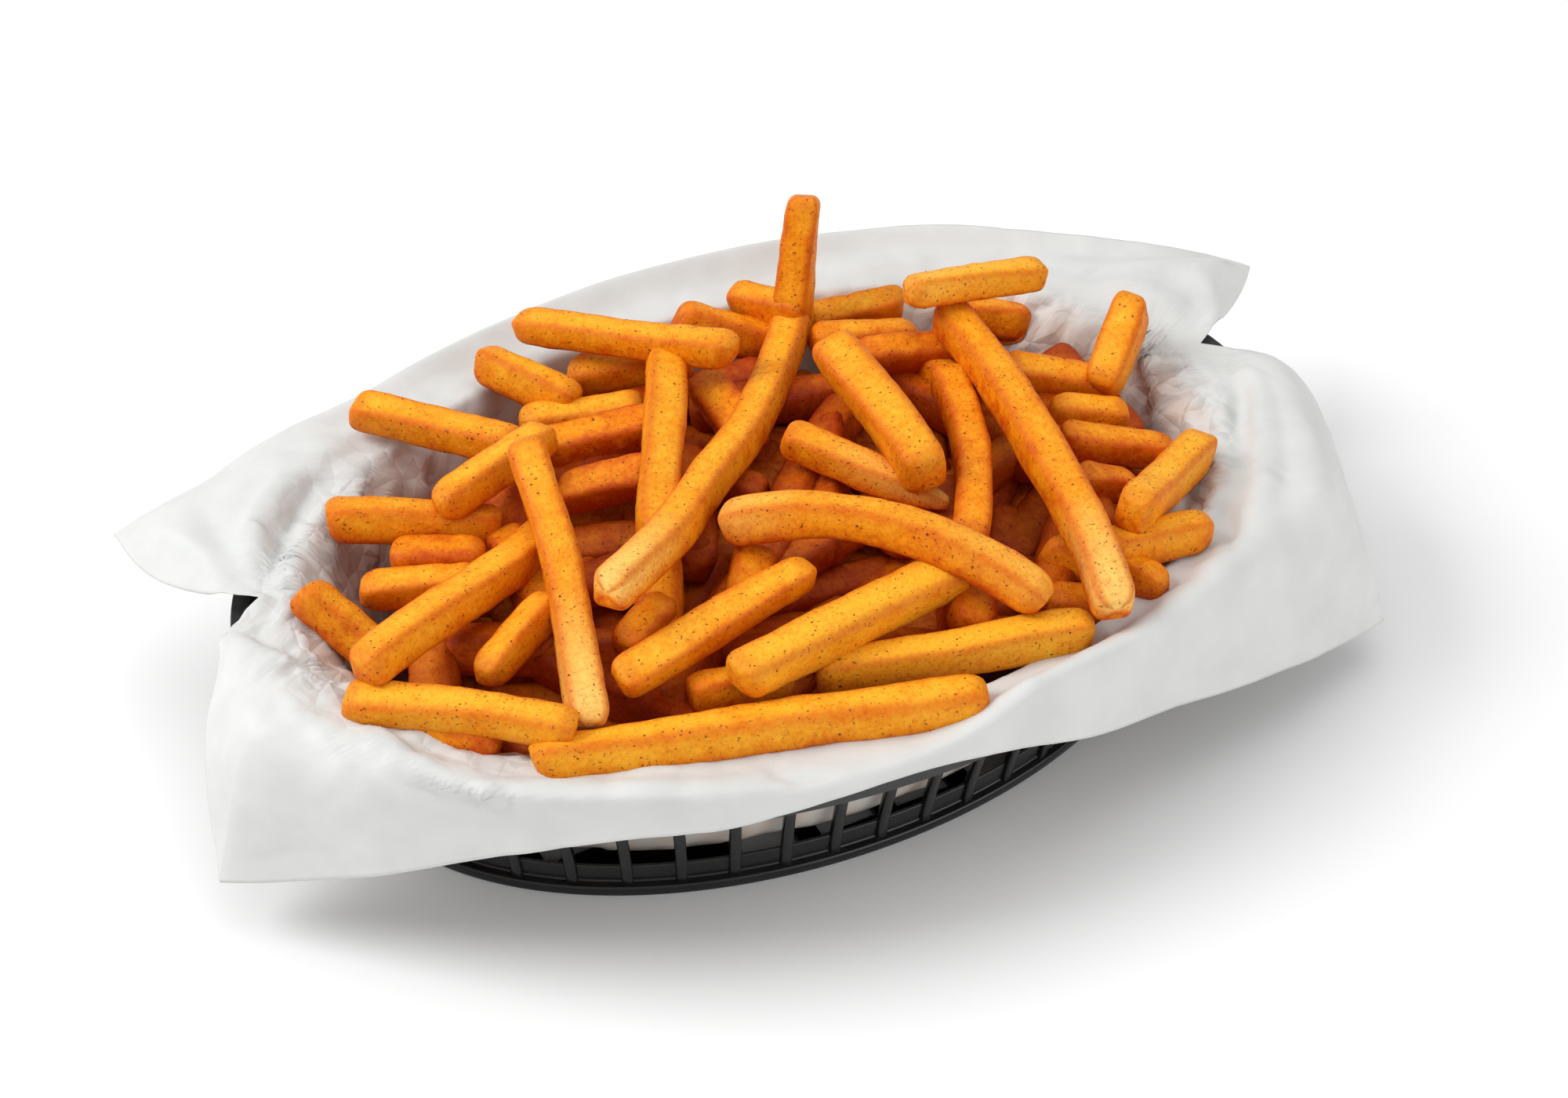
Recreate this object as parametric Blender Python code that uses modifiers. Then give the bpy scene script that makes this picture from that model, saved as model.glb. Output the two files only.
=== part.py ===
"""A portion of french fries heaped in an oval plastic basket that is lined with one sheet of deli paper.

Metres, +Z up. The origin is the centre of the basket's foot and +X runs along the oval.
The three sub-parts are the basket, the paper liner and the heap of fries.
"""

import math
import random
from dataclasses import dataclass

import bmesh
import bpy
import numpy as np

MM = 0.001

# Basket: an oval of upright ribs between a foot band and a flat rim with a lip
RIM_HALF = (117.5 * MM, 76.2 * MM)
FOOT_HALF = (94.6 * MM, 58.4 * MM)
BASKET_HEIGHT = 44.5 * MM
RIM_WIDTH = 8.0 * MM
RIM_LIP = 7.0 * MM
WALL = 1.8 * MM
FLARE = 1.45
RIB_COUNT = 44
RIB_PHASE = 0.5
RIB_WIDTH = 2.4 * MM
FOOT_BAND = 8.0 * MM
FOOT_STEP = (2.4 * MM, 1.0 * MM)
FLOOR_THICK = 2.0 * MM
FLOOR_HOLE = 13.0 * MM
FLOOR_PITCH = 18.0 * MM

# Liner: one sheet of deli paper, drawn thick enough to be a solid
PAPER_THICK = 0.6 * MM
PAPER_GAP = 0.35 * MM
RIM_CLEAR = 0.8 * MM
WALL_CLEAR = 1.0 * MM
CORNER_RADIUS = 6.0 * MM
PLEAT_DEPTH = 1.6 * MM
PLEAT_COUNT = 9
PLEAT_SPREAD = math.radians(34)
LINER_COLUMNS = 60
CORNER_APART = math.radians(1.5)
FLAP_ROWS = 3
HEM_CLEAR = 1.2 * MM

# The photograph's view, which the hem and the showing fries are placed by
VIEW_AZIMUTH = math.radians(-30.82)
VIEW_ELEVATION = math.radians(42.23)
VIEW_ROLL = math.radians(3.0)
VIEW_DISTANCE = 0.650
VIEW_AIM = 0.030
VIEW_FOCAL = 3900.0
VIEW_CENTRE = (986.2, 714.0)

# Heap: a core under the showing fries, which lie over it in layers
CORE_EDGE = 36.0 * MM
CORE_CROWN = 9.0 * MM
CORE_CLEAR = 4.0 * MM
CORE_ROWS = 4
CORE_COLUMNS = 32
LAYER_HEIGHT = 6.5 * MM
FILL_COUNT = 22
FILL_SEED = 7
TOUCH = 0.78
JOINED = 0.82
JOIN_ROUNDS = 60
JOIN_STEP = 0.4 * MM
LAY_ROUNDS = 50
LAY_STEP = 0.3
LAY_PULL = 0.04
LAY_REACH = 14.0 * MM
LINE_POINTS = 15
FRY_CLEAR = 1.3 * MM
FRY_CORNER = 0.30
FRY_END = 2.2 * MM


def view_axes():
    """The view's directions: back towards the eye, right and up in the picture."""
    flat = math.cos(VIEW_ELEVATION)
    back = np.array([math.sin(VIEW_AZIMUTH) * flat, -math.cos(VIEW_AZIMUTH) * flat, math.sin(VIEW_ELEVATION)])
    right = np.array([math.cos(VIEW_AZIMUTH), math.sin(VIEW_AZIMUTH), 0.0])
    up = np.cross(back, right)
    turn, lift = math.cos(VIEW_ROLL), math.sin(VIEW_ROLL)
    return back, turn * right + lift * up, turn * up - lift * right


VIEW_BACK, VIEW_RIGHT, VIEW_UP = view_axes()


@dataclass(frozen=True)
class HemPoint:
    """A place on the sheet's edge: where the photograph shows it and how high it is."""

    pixel: tuple
    height: float
    corner: bool = False


HEM = [
    HemPoint((1700, 575), 37 * MM),
    HemPoint((1646, 470), 43 * MM),
    HemPoint((1575, 447), 45.8 * MM, corner=True),
    HemPoint((1531, 441), 45.8 * MM, corner=True),
    HemPoint((1546, 420), 45.6 * MM, corner=True),
    HemPoint((1588, 350), 34 * MM, corner=True),
    HemPoint((1484, 319), 43 * MM),
    HemPoint((1328, 299), 47 * MM),
    HemPoint((1171, 293), 48 * MM),
    HemPoint((948, 319), 48 * MM),
    HemPoint((680, 397), 47 * MM),
    HemPoint((468, 503), 46 * MM),
    HemPoint((300, 595), 41 * MM),
    HemPoint((152, 686), 32 * MM, corner=True),
    HemPoint((212, 745), 38 * MM),
    HemPoint((291, 764), 45.6 * MM, corner=True),
    HemPoint((330, 772), 45.8 * MM, corner=True),
    HemPoint((291, 810), 45.2 * MM, corner=True),
    HemPoint((267, 960), 32 * MM),
    HemPoint((281, 1125), 12 * MM, corner=True),
    HemPoint((435, 1121), 21 * MM),
    HemPoint((658, 1089), 34 * MM),
    HemPoint((900, 1058), 40.3 * MM),
    HemPoint((1216, 972), 43 * MM),
    HemPoint((1480, 908), 28 * MM),
    HemPoint((1770, 789), 10 * MM, corner=True),
]


@dataclass(frozen=True)
class Fry:
    """A fry that shows: its centre line's ends in the photograph, its size and where it lies."""

    start: tuple
    end: tuple
    thick: float
    layers: tuple
    bend: float = 0.0
    heights: tuple = None


SHOWING = [
    Fry((712, 634), (850, 608), 9.5 * MM, (0.2, 0.2)),
    Fry((1090, 455), (1230, 450), 9.5 * MM, (0.3, 0.3)),
    Fry((492, 928), (635, 953), 8.5 * MM, (0.5, 0.3)),
    Fry((500, 712), (620, 712), 9.0 * MM, (0.0, 0.0)),
    Fry((1225, 400), (1312, 412), 9.0 * MM, (0.5, 0.5)),
    Fry((1243, 720), (1243, 808), 9.0 * MM, (0.2, 0.0)),
    Fry((1355, 560), (1492, 578), 9.0 * MM, (0.5, 0.5)),
    Fry((1370, 610), (1450, 622), 8.5 * MM, (0.0, 0.0)),
    Fry((1425, 722), (1488, 752), 8.0 * MM, (0.5, 0.7)),
    Fry((850, 770), (800, 830), 9.0 * MM, (0.2, 0.2)),
    Fry((965, 700), (950, 785), 9.5 * MM, (0.5, 0.3)),
    Fry((690, 572), (850, 540), 10.0 * MM, (0.7, 0.5)),
    Fry((865, 405), (1000, 442), 9.5 * MM, (0.8, 0.5)),
    Fry((722, 480), (880, 458), 9.5 * MM, (1.2, 1.0)),
    Fry((612, 458), (735, 515), 9.0 * MM, (1.5, 0.8)),
    Fry((450, 521), (662, 570), 9.5 * MM, (2.2, 1.2)),
    Fry((416, 662), (640, 668), 9.8 * MM, (1.2, 0.8)),
    Fry((458, 752), (610, 742), 9.0 * MM, (0.8, 0.5)),
    Fry((385, 752), (500, 852), 9.3 * MM, (1.0, 0.8)),
    Fry((558, 648), (700, 552), 9.0 * MM, (1.8, 1.5)),
    Fry((690, 970), (1240, 896), 10.2 * MM, (1.1, 0.9)),
    Fry((1040, 860), (1398, 804), 10.0 * MM, (1.0, 1.0)),
    Fry((438, 892), (735, 925), 9.0 * MM, (1.9, 1.7)),
    Fry((850, 436), (842, 690), 8.8 * MM, (1.4, 1.4)),
    Fry((657, 410), (935, 446), 9.0 * MM, (2.2, 1.8)),
    Fry((1000, 556), (1212, 643), 8.6 * MM, (1.2, 1.2)),
    Fry((1065, 445), (1190, 605), 11.2 * MM, (1.8, 1.9)),
    Fry((1205, 475), (1236, 690), 8.0 * MM, (1.0, 0.8), bend=-3 * MM),
    Fry((617, 868), (712, 768), 8.5 * MM, (1.8, 1.6)),
    Fry((462, 858), (700, 680), 10.0 * MM, (2.2, 1.8)),
    Fry((788, 868), (1032, 722), 8.8 * MM, (1.6, 1.4)),
    Fry((940, 866), (1232, 724), 11.0 * MM, (2.0, 1.6)),
    Fry((1278, 468), (1412, 492), 9.3 * MM, (1.2, 1.2)),
    Fry((1448, 380), (1404, 496), 10.0 * MM, (2.0, 1.0), heights=(59 * MM, 48 * MM)),
    Fry((1545, 672), (1405, 700), 9.5 * MM, (1.1, 1.2)),
    Fry((1530, 572), (1440, 655), 10.8 * MM, (1.6, 1.8)),
    Fry((922, 668), (1335, 768), 10.0 * MM, (2.3, 1.8), bend=-7.5 * MM),
    Fry((1030, 412), (1152, 386), 9.0 * MM, (1.8, 1.6)),
    Fry((1012, 402), (775, 757), 9.6 * MM, (2.6, 2.5), bend=-5 * MM),
    Fry((672, 570), (750, 928), 9.4 * MM, (2.8, 2.8), bend=-1.5 * MM),
    Fry((1205, 397), (1425, 780), 9.8 * MM, (2.4, 2.3), bend=-3 * MM),
    Fry((1155, 375), (1330, 345), 8.6 * MM, (2.3, 2.2)),
    Fry((935, 378), (1030, 398), 9.5 * MM, (2.4, 2.4)),
    Fry((1027, 250), (1010, 400), 8.4 * MM, (5.0, 1.5), heights=(76 * MM, 50 * MM)),
]


def clear_scene():
    """Removes every object from the scene."""
    for obj in list(bpy.data.objects):
        bpy.data.objects.remove(obj)


def new_collection(name):
    """A collection of the scene, made new."""
    group = bpy.data.collections.new(name)
    bpy.context.scene.collection.children.link(group)
    return group


def plain_material(name, colour, roughness):
    """A material with one colour and roughness."""
    material = bpy.data.materials.new(name)
    material.use_nodes = True
    shader = material.node_tree.nodes["Principled BSDF"]
    shader.inputs["Base Color"].default_value = (*colour, 1.0)
    shader.inputs["Roughness"].default_value = roughness
    shader.inputs["Metallic"].default_value = 0.0
    return material


def mesh_object(name, bm, group, material=None):
    """An object in the group, from a bmesh whose faces are turned outwards."""
    bmesh.ops.recalc_face_normals(bm, faces=bm.faces)
    mesh = bpy.data.meshes.new(name)
    bm.to_mesh(mesh)
    bm.free()
    obj = bpy.data.objects.new(name, mesh)
    group.objects.link(obj)
    if material:
        mesh.materials.append(material)
    return obj


def apply_modifiers(obj):
    """Gives the object its evaluated mesh and removes its modifiers."""
    graph = bpy.context.evaluated_depsgraph_get()
    mesh = bpy.data.meshes.new_from_object(obj.evaluated_get(graph))
    obj.modifiers.clear()
    obj.data = mesh


def polar_oval(half, angle):
    """The radius of an oval of the given half sizes in a direction seen from its centre."""
    return 1.0 / math.hypot(math.cos(angle) / half[0], math.sin(angle) / half[1])


def wall_half(height):
    """Half sizes of the wall's outer face at a height: it flares towards the rim."""
    share = (min(max(height, 0.0), BASKET_HEIGHT) / BASKET_HEIGHT) ** FLARE
    return tuple(foot + (rim - RIM_WIDTH - foot) * share for foot, rim in zip(FOOT_HALF, RIM_HALF))


def grown(half, distance):
    """Half sizes of an oval moved outwards by a distance."""
    return (half[0] + distance, half[1] + distance)


def even_angles(half, count, phase=0.0):
    """Directions that divide an oval's edge into equal lengths, the first a share of a length off +X."""
    fine = np.linspace(0.0, 2.0 * math.pi, 1441)
    radii = np.array([polar_oval(half, a) for a in fine])
    points = np.stack([radii * np.cos(fine), radii * np.sin(fine)], axis=1)
    lengths = np.concatenate([[0.0], np.cumsum(np.linalg.norm(np.diff(points, axis=0), axis=1))])
    return list(np.interp((np.arange(count) + phase) * lengths[-1] / count, lengths, fine))


def basket_rows():
    """The shell's outer face from foot to lip, as half sizes and height, in order."""
    step_height, step_out = FOOT_STEP
    top = BASKET_HEIGHT - WALL
    lip = grown(RIM_HALF, -WALL)
    step = grown(FOOT_HALF, step_out)
    rows = [(step, 0.0), (step, step_height), (wall_half(FOOT_BAND), FOOT_BAND)]
    return rows + [(wall_half(BASKET_HEIGHT), top), (lip, top), (lip, BASKET_HEIGHT - RIM_LIP)]


def basket_shell(group):
    """The ribs and rings as one surface with windows, thickened into a wall."""
    rows = basket_rows()
    columns = []
    for angle in even_angles(RIM_HALF, RIB_COUNT, RIB_PHASE):
        half_turn = 0.5 * RIB_WIDTH / polar_oval(wall_half(BASKET_HEIGHT), angle)
        columns += [angle - half_turn, angle + half_turn]
    window_row = [height for half, height in rows].index(FOOT_BAND)
    bm = bmesh.new()
    rings = []
    for half, height in rows:
        ring = []
        for angle in columns:
            radius = polar_oval(half, angle)
            ring.append(bm.verts.new((radius * math.cos(angle), radius * math.sin(angle), height)))
        rings.append(ring)
    for row in range(len(rows) - 1):
        for column in range(len(columns)):
            if row == window_row and column % 2 == 1:
                continue
            after = (column + 1) % len(columns)
            low, high = rings[row], rings[row + 1]
            bm.faces.new((low[column], low[after], high[after], high[column]))
    mesh = bpy.data.meshes.new("basket")
    bm.to_mesh(mesh)
    bm.free()
    obj = bpy.data.objects.new("basket", mesh)
    group.objects.link(obj)
    wall = obj.modifiers.new("wall", "SOLIDIFY")
    wall.thickness = WALL
    wall.offset = -1.0
    wall.use_even_offset = True
    return obj


def floor_lattice(group):
    """The floor: an oval plate with rows of square holes."""
    bm = bmesh.new()
    half = grown(FOOT_HALF, -0.5 * WALL)
    ring = []
    for angle in even_angles(FOOT_HALF, RIB_COUNT * 2):
        radius = polar_oval(half, angle)
        ring.append(bm.verts.new((radius * math.cos(angle), radius * math.sin(angle), 0.0)))
    face = bm.faces.new(ring)
    top = bmesh.ops.extrude_face_region(bm, geom=[face])
    moved = [item for item in top["geom"] if isinstance(item, bmesh.types.BMVert)]
    bmesh.ops.translate(bm, verts=moved, vec=(0.0, 0.0, FLOOR_THICK))
    return mesh_object("floor", bm, group)


def floor_cutter(group):
    """The floor's holes: square posts in rows, clear of the foot band."""
    bm = bmesh.new()
    reach = grown(FOOT_HALF, -WALL)
    steps = int(FOOT_HALF[0] / FLOOR_PITCH) + 1
    for column in range(-steps, steps):
        for row in range(-steps, steps):
            centre = ((column + 0.5) * FLOOR_PITCH, (row + 0.5) * FLOOR_PITCH)
            far = (abs(centre[0]) + 0.5 * FLOOR_HOLE, abs(centre[1]) + 0.5 * FLOOR_HOLE)
            if math.hypot(far[0] / reach[0], far[1] / reach[1]) > 1.0:
                continue
            made = bmesh.ops.create_cube(bm, size=FLOOR_HOLE)
            bmesh.ops.translate(bm, verts=made["verts"], vec=(*centre, 0.0))
    cutter = mesh_object("floor_holes", bm, group)
    cutter.hide_render = True
    cutter.display_type = "WIRE"
    return cutter


def join_solids(target, other, operation, solver="EXACT"):
    """Applies one Boolean of two solids to the first."""
    change = target.modifiers.new("join", "BOOLEAN")
    change.operation = operation
    change.solver = solver
    change.object = other
    apply_modifiers(target)
    bpy.data.objects.remove(other)


def make_basket(group):
    """The basket: ribbed shell and pierced floor as one body."""
    basket = basket_shell(group)
    apply_modifiers(basket)
    floor = floor_lattice(group)
    join_solids(floor, floor_cutter(group), "DIFFERENCE")
    join_solids(basket, floor, "UNION")
    basket.data.materials.clear()
    basket.data.materials.append(plain_material("black_plastic", (0.012, 0.012, 0.013), 0.42))
    return basket


def sight_point(pixel, height):
    """The place at a height that the photograph shows at a pixel."""
    eye = np.array([0.0, 0.0, VIEW_AIM]) + VIEW_BACK * VIEW_DISTANCE
    across = (pixel[0] - VIEW_CENTRE[0]) / VIEW_FOCAL
    down = (pixel[1] - VIEW_CENTRE[1]) / VIEW_FOCAL
    ray = across * VIEW_RIGHT - down * VIEW_UP - VIEW_BACK
    return eye + ray * (height - eye[2]) / ray[2]


def hem_table():
    """The hem's points as direction, radius, height and corner mark, by direction from the centre."""
    rows = []
    for point in HEM:
        place = sight_point(point.pixel, point.height)
        angle = math.atan2(place[1], place[0]) % (2.0 * math.pi)
        rows.append((angle, math.hypot(place[0], place[1]), place[2], point.corner))
    return sorted(rows)


def hem_at(table, angle):
    """The hem's radius and height in a direction, smooth between corners and sharp at them."""
    count = len(table)
    angle %= 2.0 * math.pi
    after = next((i for i, row in enumerate(table) if row[0] > angle), 0)
    one, two = table[after - 1], table[after]
    span = (two[0] - one[0]) % (2.0 * math.pi)
    share = ((angle - one[0]) % (2.0 * math.pi)) / span
    values = []
    for field in (1, 2):
        slope = (two[field] - one[field]) / span
        before, beyond = table[after - 2], table[(after + 1) % count]
        start = slope if one[3] else (two[field] - before[field]) / ((two[0] - before[0]) % (2.0 * math.pi))
        finish = slope if two[3] else (beyond[field] - one[field]) / ((beyond[0] - one[0]) % (2.0 * math.pi))
        cubic = share * share * (3.0 - 2.0 * share)
        leave = share * (1.0 - share) ** 2 * start * span
        arrive = share * share * (1.0 - share) * finish * span
        values.append(one[field] + (two[field] - one[field]) * cubic + leave - arrive)
    return values


def pleat(angle):
    """How far the paper stands off the wall: it is gathered into pleats at both ends of the oval."""
    off_axis = (angle + 0.5 * math.pi) % math.pi - 0.5 * math.pi
    if abs(off_axis) > PLEAT_SPREAD:
        return 0.0
    window = math.cos(0.5 * math.pi * off_axis / PLEAT_SPREAD) ** 2
    return PLEAT_DEPTH * window * (0.5 - 0.5 * math.cos(PLEAT_COUNT * math.pi * off_axis / PLEAT_SPREAD))


def liner_column(table, angle):
    """The paper's section in one direction, from the floor to the hem, as radius and height."""
    floor = FLOOR_THICK + PAPER_GAP + 0.5 * PAPER_THICK
    over = BASKET_HEIGHT + RIM_CLEAR + 0.5 * PAPER_THICK
    stand = WALL + WALL_CLEAR
    foot = polar_oval(grown(FOOT_HALF, -stand), angle)
    section = [(foot - CORNER_RADIUS, floor), (foot - 0.3 * CORNER_RADIUS, floor + 2.0 * MM)]
    for height in (9.0 * MM, 24.0 * MM, BASKET_HEIGHT - 4.0 * MM):
        share = height / BASKET_HEIGHT
        section.append((polar_oval(grown(wall_half(height), -stand), angle) - pleat(angle) * share, height))
    inner = polar_oval(grown(wall_half(BASKET_HEIGHT), -stand), angle) - 0.5 * pleat(angle)
    outer = polar_oval(grown(RIM_HALF, WALL_CLEAR), angle)
    radius, height = hem_at(table, angle)
    if height < BASKET_HEIGHT:
        radius = max(radius, outer + HEM_CLEAR)
    edge = outer if height < BASKET_HEIGHT else 0.5 * (inner + min(outer, radius))
    section += [(inner, over - 0.5 * MM), (inner + 1.2 * MM, over), (edge, over)]
    bend = (edge + 0.55 * (radius - edge), over + 0.12 * max(radius - outer, 0.0))
    for row in range(1, FLAP_ROWS + 1):
        t = row / FLAP_ROWS
        along = [(1 - t) ** 2 * a + 2 * t * (1 - t) * b + t * t * c
                 for a, b, c in zip((edge, over), bend, (radius, height))]
        section.append(tuple(along))
    return section


def liner_angles(table):
    """Directions of the liner's columns: even around the oval, with the sheet's corners among them."""
    corners = [row[0] for row in table if row[3]]
    even = [angle for angle in even_angles(RIM_HALF, LINER_COLUMNS)
            if min(abs(angle - corner) for corner in corners) > CORNER_APART]
    return sorted(even + corners)


def make_liner(group, thickness=PAPER_THICK):
    """The paper: a surface from floor to hem, split into triangles and thickened alike on both faces."""
    table = hem_table()
    bm = bmesh.new()
    rings = []
    for angle in liner_angles(table):
        ring = [bm.verts.new((radius * math.cos(angle), radius * math.sin(angle), height))
                for radius, height in liner_column(table, angle)]
        rings.append(ring)
    centre = bm.verts.new((0.0, 0.0, FLOOR_THICK + PAPER_GAP + 0.5 * PAPER_THICK))
    for column, ring in enumerate(rings):
        following = rings[(column + 1) % len(rings)]
        bm.faces.new((centre, ring[0], following[0]))
        for row in range(len(ring) - 1):
            bm.faces.new((ring[row], ring[row + 1], following[row + 1], following[row]))
    bmesh.ops.triangulate(bm, faces=bm.faces)
    sheet = mesh_object("liner", bm, group, plain_material("deli_paper", (0.80, 0.80, 0.78), 0.70))
    wall = sheet.modifiers.new("sheet", "SOLIDIFY")
    wall.thickness = thickness
    wall.offset = 0.0
    wall.use_even_offset = True
    apply_modifiers(sheet)
    return sheet


def core_height(x, y):
    """The top of the core: a low dome inside the liner."""
    limit = grown(wall_half(BASKET_HEIGHT), -WALL - CORE_CLEAR)
    share = (x / limit[0]) ** 2 + (y / limit[1]) ** 2
    return CORE_EDGE + CORE_CROWN * (1.0 - np.minimum(share, 1.0))


def make_core(group):
    """The core: a tub that fills the liner's inside, with a domed top."""
    bm = bmesh.new()
    base = FLOOR_THICK + PAPER_THICK + 3.0 * PAPER_GAP
    sides = [(base, 2.5 * CORE_CLEAR), (base + 9.0 * MM, CORE_CLEAR), (CORE_EDGE, CORE_CLEAR)]
    angles = even_angles(RIM_HALF, CORE_COLUMNS)
    rings = []
    for height, clear in sides:
        half = grown(wall_half(height), -WALL - clear)
        rings.append([(polar_oval(half, a) * math.cos(a), polar_oval(half, a) * math.sin(a), height) for a in angles])
    outline = rings[-1]
    for row in range(1, CORE_ROWS):
        share = 1.0 - row / CORE_ROWS
        rings.append([(x * share, y * share, float(core_height(x * share, y * share))) for x, y, _ in outline])
    verts = [[bm.verts.new(place) for place in ring] for ring in rings]
    for low, high in zip(verts, verts[1:]):
        for column in range(CORE_COLUMNS):
            after = (column + 1) % CORE_COLUMNS
            bm.faces.new((low[column], low[after], high[after], high[column]))
    bm.faces.new(list(reversed(verts[0])))
    top = bm.verts.new((0.0, 0.0, CORE_EDGE + CORE_CROWN))
    for column in range(CORE_COLUMNS):
        bm.faces.new((verts[-1][column], verts[-1][(column + 1) % CORE_COLUMNS], top))
    return mesh_object("fries", bm, group)


def centre_line(start, end, bend):
    """Points along a fry's centre line, bent sideways as the view sees it."""
    side = np.cross(end - start, VIEW_BACK)
    side /= np.linalg.norm(side)
    t = np.linspace(0.0, 1.0, LINE_POINTS)[:, None]
    return start + (end - start) * t + side * bend * 4.0 * t * (1.0 - t)


def lowest_centre(points, half):
    """The lowest height allowed for a fry's centre over the core, the paper and the rim."""
    inside = grown(wall_half(BASKET_HEIGHT), -WALL - WALL_CLEAR - PAPER_THICK)
    radius = np.hypot(points[:, 0], points[:, 1])
    limit = radius / np.hypot(points[:, 0] / inside[0], points[:, 1] / inside[1])
    on_core = core_height(points[:, 0], points[:, 1]) + 0.4 * half
    on_rim = BASKET_HEIGHT + RIM_CLEAR + 1.5 * PAPER_THICK + half
    return np.where(radius + half > limit, on_rim, on_core)


def layer_height(pixel, layer):
    """The height at which the sight line through a pixel meets a layer of the heap."""
    height = CORE_EDGE + CORE_CROWN
    for _ in range(12):
        x, y, _ = sight_point(pixel, height)
        height = 0.5 * height + 0.5 * (float(core_height(x, y)) + 2.5 * MM + layer * LAYER_HEIGHT)
    return height


def spare(line, half, other_line, other_half):
    """The gap left before two fries are joined, which is at most of their half sizes."""
    gaps = np.linalg.norm(line[1:-1, None, :] - other_line[None, 1:-1, :], axis=2)
    return float(gaps.min()) - JOINED * (half + other_half)


class Heap:
    """The showing fries, laid on each other: each moves only along the sight lines of its ends."""

    def __init__(self, fill):
        """Starts every fry at the height of its layer, over the fill that lies on the core."""
        self.fill = fill
        self.rays = []
        self.heights = []
        for fry in SHOWING:
            ends = (fry.start, fry.end)
            feet = np.array([sight_point(pixel, 0.0) for pixel in ends])
            self.rays.append((feet, np.array([sight_point(pixel, 1.0) for pixel in ends]) - feet))
            layers = [layer_height(pixel, layer) for pixel, layer in zip(ends, fry.layers)]
            self.heights.append(np.array(fry.heights or layers))
        self.wanted = [pair.copy() for pair in self.heights]

    def line(self, index):
        """The centre line of one showing fry at its present heights."""
        feet, slope = self.rays[index]
        start, end = feet + slope * self.heights[index][:, None]
        return centre_line(start, end, SHOWING[index].bend)

    def shift(self, index, share, amount):
        """Raises a fry at a place along it, so that the nearer end moves more."""
        if SHOWING[index].heights is None:
            self.heights[index] += amount * 2.0 * np.array([1.0 - share, share])

    def part_pair(self, lines, upper, lower_line, lower_half, lower=None):
        """Moves two fries apart where they cut into each other, the one in front upwards."""
        need = TOUCH * (0.5 * SHOWING[upper].thick + lower_half)
        gaps = np.linalg.norm(lines[upper][:, None, :] - lower_line[None, :, :], axis=2)
        at, below = np.unravel_index(gaps.argmin(), gaps.shape)
        missing = need - gaps[at, below]
        if missing <= 0.0:
            return
        self.shift(upper, at / (LINE_POINTS - 1), LAY_STEP * missing)
        if lower is not None:
            self.shift(lower, below / (LINE_POINTS - 1), -LAY_STEP * missing)

    def lift_off_base(self, index, line):
        """Raises a fry that lies lower than what carries it allows."""
        missing = lowest_centre(line, 0.5 * SHOWING[index].thick) - line[:, 2]
        worst = int(missing.argmax())
        if missing[worst] > 0.0:
            self.shift(index, worst / (LINE_POINTS - 1), 0.7 * missing[worst])

    def lay(self):
        """Repeats the moves until the fries lie on each other, and returns lines and half sizes."""
        count = len(SHOWING)
        lines = [self.line(index) for index in range(count)]

        def near(one, two):
            """True for two centre lines close enough to meet while the fries are laid."""
            return np.linalg.norm(one[:, None, :] - two[None, :, :], axis=2).min() < 1.5 * LAY_REACH

        on_fill = [(index, pair) for index in range(count) for pair in self.fill if near(lines[index], pair[0])]
        crossing = [(one, two) for one in range(count) for two in range(one) if near(lines[one], lines[two])]
        for _ in range(LAY_ROUNDS):
            for index in range(count):
                if SHOWING[index].heights is None:
                    self.heights[index] += LAY_PULL * (self.wanted[index] - self.heights[index])
            lines = [self.line(index) for index in range(count)]
            for upper, (line, half) in on_fill:
                self.part_pair(lines, upper, line, half)
            for upper, lower in crossing:
                self.part_pair(lines, upper, lines[lower], 0.5 * SHOWING[lower].thick, lower)
            for index in range(count):
                self.lift_off_base(index, lines[index])
        self.join_loose()
        return [(self.line(index), 0.5 * fry.thick) for index, fry in enumerate(SHOWING)]

    def held(self):
        """Which showing fries are joined to the core, straight or through other fries."""
        placed = [(self.line(index), 0.5 * fry.thick) for index, fry in enumerate(SHOWING)]
        held = {index for index, pair in enumerate(placed) if self.base_gap(*pair) <= 0.0}
        reached = set(held)
        while reached:
            reached = {index for index in set(range(len(SHOWING))) - held
                       if any(spare(*placed[index], *placed[other]) <= 0.0 for other in reached)}
            held |= reached
        return held

    def base_gap(self, line, half):
        """How far a fry is from being joined to the core or to the fill."""
        inner = line[1:-1]
        over_core = float(np.min(inner[:, 2] - core_height(inner[:, 0], inner[:, 1]))) - 0.5 * half
        return min([over_core] + [spare(line, half, *pair) for pair in self.fill])

    def join_loose(self):
        """Moves each loose fry's ends in small steps until it is joined to the heap."""
        steps = [np.array([a, b]) * JOIN_STEP for a in (-1, 0, 1) for b in (-1, 0, 1)]
        for _ in range(JOIN_ROUNDS):
            held = self.held()
            loose = set(range(len(SHOWING))) - held
            if not loose:
                return
            for index in loose:
                half = 0.5 * SHOWING[index].thick
                kept, best = self.heights[index], None
                for step in steps:
                    self.heights[index] = kept + step
                    line = self.line(index)
                    sunk = max(0.0, float(np.max(lowest_centre(line, half) - line[:, 2])))
                    gap = min([self.base_gap(line, half)]
                              + [spare(line, half, self.line(other), 0.5 * SHOWING[other].thick) for other in held])
                    if best is None or gap + 4.0 * sunk < best[0]:
                        best = (gap + 4.0 * sunk, self.heights[index])
                self.heights[index] = best[1]


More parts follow.
